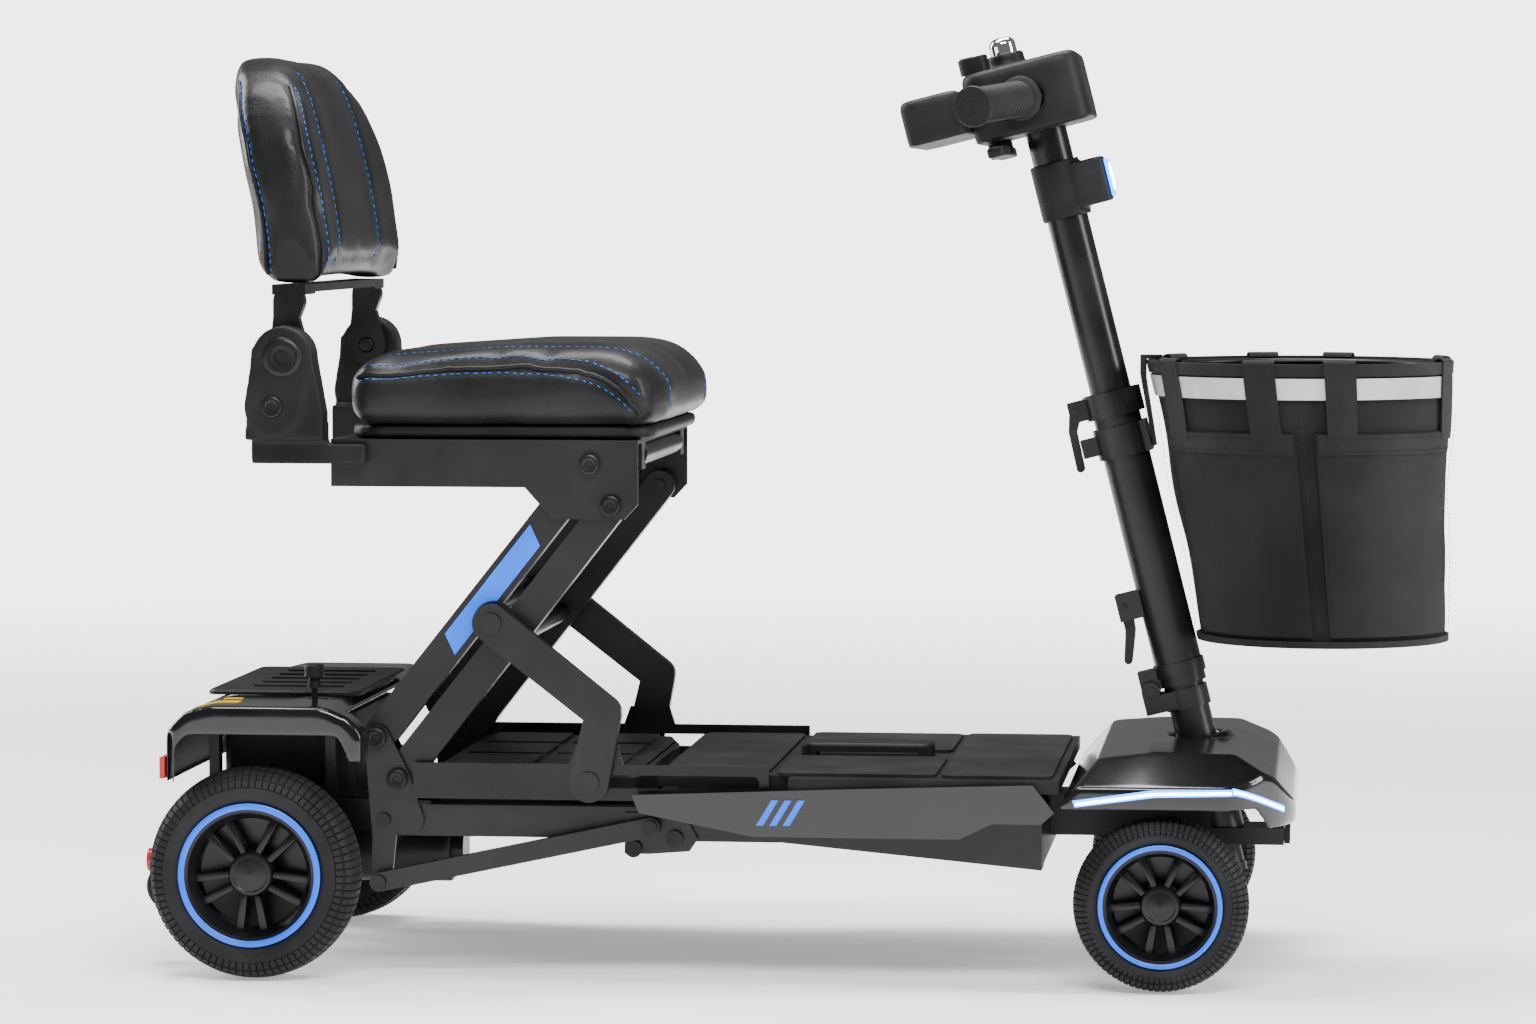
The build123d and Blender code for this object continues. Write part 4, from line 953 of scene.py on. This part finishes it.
# ---- Grips ----
# Soft rubber bellows pushed over the bar ends, with a flange inboard and a flat end disc.
grip_section = [(0.0112, 0.0), (0.0205, 0.0), (0.0212, 0.0012), (0.0212, 0.0034), (0.0203, 0.0046)]
for rib in range(13):
    start = 0.0065 + rib * 0.0076
    grip_section += [(0.0148, start), (0.0168, start + 0.0014)]
    grip_section += [(0.0172, start + 0.0034), (0.0166, start + 0.0054)]
grip_section += [(0.0150, 0.1056), (0.0186, 0.1064), (0.0194, 0.1078), (0.0194, 0.1102), (0.0184, 0.1118)]
grip_section += [(0.0100, 0.1122), (0.0092, 0.1108), (0.0006, 0.1106), (0.0006, 0.1010), (0.0112, 0.1000)]
for side_name, turn in (("right", -1), ("left", 1)):
    grip = turn_section(f"grip_{side_name}", grip_section, (0.0, 0.0, 0.0), 40)
    inboard = stem_frame @ Vector((-0.002, turn * 0.085, 0.584))
    outboard = stem_frame @ Vector((-0.050, turn * 0.208, 0.584))
    start = inboard.lerp(outboard, 0.16)
    aim = (outboard - inboard).normalized()
    swing = Vector((0, 1, 0)).rotation_difference(aim).to_matrix().to_4x4()
    grip.data.transform(Matrix.Translation(start) @ swing)
    if turn < 0:
        dress(grip, mat_rubber, "grip", "mast", "grips")
    else:
        dress(grip, mat_rubber, "grip", "mast")


# ---- Basket ----
# Coated woven polyester sewn round a wire hoop: a sagging round bag with bound edges, two
# patch pockets, a reflective tape, and straps that loop over the rim.
def make_weave(name, dark, light, rough=0.85):
    """Plain weave on the piece's own map, with slubs, a soft sheen and creases."""
    weave = make_finish(name, dark, light, rough, grain=60, depth=0.0012)
    tree = weave.node_tree
    shader = tree.nodes["Principled BSDF"]
    map_at = tree.nodes.new("ShaderNodeUVMap")
    old_bump = next(node for node in tree.nodes if node.type == "BUMP")
    old_bump.inputs["Strength"].default_value = 0.25
    threads = []
    for direction in ("X", "Y"):
        wave = tree.nodes.new("ShaderNodeTexWave")
        wave.bands_direction = direction
        wave.inputs["Scale"].default_value = 260
        wave.inputs["Distortion"].default_value = 0.5
        tree.links.new(map_at.outputs["UV"], wave.inputs["Vector"])
        threads.append(wave)
    cross = tree.nodes.new("ShaderNodeMath")
    cross.operation = "MAXIMUM"
    tree.links.new(threads[0].outputs["Fac"], cross.inputs[0])
    tree.links.new(threads[1].outputs["Fac"], cross.inputs[1])
    bump = tree.nodes.new("ShaderNodeBump")
    bump.inputs["Strength"].default_value = 0.7
    bump.inputs["Distance"].default_value = 0.0005
    tree.links.new(cross.outputs["Value"], bump.inputs["Height"])
    tree.links.new(old_bump.outputs["Normal"], bump.inputs["Normal"])
    tree.links.new(bump.outputs["Normal"], shader.inputs["Normal"])
    shader.inputs["Sheen Weight"].default_value = 0.06
    return weave


black_weave = make_weave("black_weave", (0.004, 0.004, 0.0042), (0.011, 0.011, 0.0115))
webbing = make_weave("webbing", (0.005, 0.005, 0.005), (0.013, 0.013, 0.013), 0.7)
reflective = make_weave("reflective_tape", (0.42, 0.43, 0.44), (0.58, 0.59, 0.60), 0.4)
black_thread = make_finish("black_thread", (0.006, 0.006, 0.006), (0.02, 0.02, 0.02), 0.7, grain=2500)
bag_low, bag_high = 0.315, 0.586
bag_low_r, bag_high_r = 0.118, 0.146
bag_low_x, bag_high_x = 0.506, 0.482


def bag_point(angle, height, proud):
    """A point on the bag's outer face, by angle round from the front and by height."""
    share = (height - bag_low) / (bag_high - bag_low)
    sag = 0.0016 * math.sin(3 * angle + 9 * share) * share * (1 - share) * 4
    sag += 0.0011 * math.sin(7 * angle - 14 * share) * (1 - share) * share * 3
    sag -= 0.0030 * share * (1 - share) * 4 * 0.6
    radius = bag_low_r + (bag_high_r - bag_low_r) * share + sag + proud
    centre = bag_low_x + (bag_high_x - bag_low_x) * share
    return (centre + radius * math.cos(angle), -radius * math.sin(angle), height)


def map_bag(piece):
    """Lay a flat map over a bag piece: the way round by height, in metres."""
    layer = piece.data.uv_layers.new(name="cloth")
    for loop in piece.data.loops:
        spot = piece.data.vertices[loop.vertex_index].co
        share = (spot.z - bag_low) / (bag_high - bag_low)
        centre = bag_low_x + (bag_high_x - bag_low_x) * share
        layer.data[loop.index].uv = (math.atan2(-spot.y, abs(spot.x - centre)) * 0.132, spot.z)


bpy.ops.mesh.primitive_cylinder_add(vertices=96, radius=1, depth=1, end_fill_type="NGON")
bag = bpy.context.object
bag.name = "basket_cloth"
bpy.ops.object.mode_set(mode="EDIT")
body_mesh = bmesh.from_edit_mesh(bag.data)
for face in body_mesh.faces:
    face.select = face.normal.z > 0.9
bmesh.update_edit_mesh(bag.data)
bpy.ops.mesh.delete(type="FACE")
bpy.ops.mesh.select_all(action="DESELECT")
body_mesh = bmesh.from_edit_mesh(bag.data)
for edge in body_mesh.edges:
    edge.select = abs(edge.verts[0].co.z - edge.verts[1].co.z) > 0.5
bmesh.update_edit_mesh(bag.data)
bpy.ops.mesh.subdivide_edgering(number_cuts=30)
bpy.ops.mesh.select_all(action="DESELECT")
body_mesh = bmesh.from_edit_mesh(bag.data)
for face in body_mesh.faces:
    face.select = face.normal.z < -0.9
bmesh.update_edit_mesh(bag.data)
bpy.ops.mesh.inset(thickness=0.25)
bpy.ops.mesh.inset(thickness=0.3)
bpy.ops.mesh.poke()
bpy.ops.mesh.select_all(action="DESELECT")
bpy.ops.object.mode_set(mode="OBJECT")
for vertex in bag.data.vertices:
    height = bag_low + 0.002 + (vertex.co.z + 0.5) * (bag_high - bag_low - 0.004)
    reach = math.hypot(vertex.co.x, vertex.co.y)
    angle = math.atan2(-vertex.co.y, vertex.co.x)
    edge = Vector(bag_point(angle, height, -0.0018))
    middle = Vector((bag_low_x, 0, height - 0.0004))
    vertex.co = edge if reach > 0.99 else middle.lerp(edge, reach)
wall = bag.modifiers.new("wall", "SOLIDIFY")
wall.thickness = 0.0024
wall.offset = -1
apply_all(bag)
bpy.ops.object.shade_smooth_by_angle(angle=math.radians(50))
map_bag(bag)
dress(bag, black_weave, "bag", "basket", "basket_bag")


def bag_patch(name, angles, heights, proud, thick, finish, columns=24, rows=12):
    """A flat piece of cloth or tape sewn on to the bag."""
    def on_bag(u, v):
        angle = math.radians(angles[0] + (angles[1] - angles[0]) * u)
        return bag_point(angle, heights[0] + (heights[1] - heights[0]) * v, proud)

    patch = make_plate(name, on_bag, columns, rows, thick, finish, "bag", "basket")
    map_bag(patch)
    return patch


bag_patch("basket_tape", (0, 360), (0.552, 0.572), 0.0008, 0.0009, reflective, 120, 3)
bag_patch("basket_hem", (0, 360), (0.574, 0.5855), 0.0008, 0.0020, webbing, 120, 4)
bag_patch("basket_bottom_welt", (0, 360), (0.3165, 0.3225), 0.0012, 0.0034, webbing, 120, 4)
for number, (start, stop) in enumerate(((14, 86), (94, 160), (200, 266), (274, 346))):
    hem = (start + 1, stop - 1)
    bag_patch(f"basket_pocket_{number}", (start, stop), (0.327, 0.520), 0.0012, 0.0014, black_weave, 40, 24)
    bag_patch(f"basket_pocket_hem_{number}", hem, (0.500, 0.519), 0.0024, 0.0010, webbing, 40, 4)
for number, middle in enumerate((18, 75, 105, 148, 212, 255, 285, 342)):
    width = (middle - 6, middle + 6)
    bag_patch(f"basket_strap_{number}", width, (0.512, 0.5862), 0.0026, 0.0014, webbing, 8, 16)

    def over_rim(u, v):
        angle = math.radians(middle - 6 + 12 * u)
        turn = math.pi * v
        top = Vector(bag_point(angle, 0.5845, -0.0015))
        out = Vector((math.cos(angle), -math.sin(angle), 0))
        return top + out * 0.0046 * math.cos(turn) + Vector((0, 0, 0.0042 * math.sin(turn)))

    make_plate(f"basket_strap_top_{number}", over_rim, 8, 8, 0.0012, webbing, "bag", "basket")
paint_nodes(black_oxide, "basket_rim")
stitch_rows = []
for start, stop in ((15, 85), (95, 159), (201, 265), (275, 345)):
    for height in (0.5035, 0.5155):
        stitch_rows.append([(angle, height) for angle in range(start, stop, 1)])
    for angle in (start + 1, stop - 1):
        stitch_rows.append([(angle, 0.33 + 0.0047 * step) for step in range(40)])
for angle in (90, 180, 270, 0):
    stitch_rows.append([(angle + 0.7, 0.33 + 0.0047 * step) for step in range(45)])
for number, row in enumerate(stitch_rows):
    route = []
    for angle, height in row:
        spot = Vector(bag_point(math.radians(angle), height, 0.0030 if height > 0.5 else 0.0020))
        route.append((spot, Vector((math.cos(math.radians(angle)), -math.sin(math.radians(angle)), 0))))
    make_stitches(f"basket_stitches_{number}", route, "basket", 0.0042, 0.0030, 0.0004)
    sewn = bpy.data.objects[f"basket_stitches_{number}"]
    sewn.data.materials.clear()
    sewn.data.materials.append(black_thread)


# ---- Labels and badges ----
# Printed labels with no lettering: a blue flash on each upper link bar and three slanted
# blue bars on each skirt.
label_blue = make_finish("label_blue", (0.0, 0.11, 0.78), (0.0, 0.15, 0.92), 0.35, grain=800, depth=0.00001)
link_low = Vector((-0.388, 0, 0.229))
link_high = Vector((-0.1825, 0, 0.4905))
link_way = (link_high - link_low).normalized()
link_up = Vector((-link_way.z, 0, link_way.x))
for side_name, turn in (("right", -1), ("left", 1)):

    def on_link(u, v):
        share = 0.34 + 0.40 * u + 0.03 * (v - 0.5)
        spot = link_low.lerp(link_high, share) + link_up * (v - 0.5) * 0.020
        return (spot.x, turn * 0.1794, spot.z)

    make_plate(f"link_label_{side_name}", on_link, 20, 4, 0.0005, label_blue, "trim", "links_upper")
    for number in range(3):

        def on_skirt(u, v):
            return (-0.0215 + number * 0.0125 + u * 0.0065 + v * 0.0145, turn * 0.2118, 0.153 + v * 0.024)

        flash = f"skirt_flash_{side_name}_{number}"
        make_plate(flash, on_skirt, 3, 6, 0.0006, label_blue, "trim", "chassis")
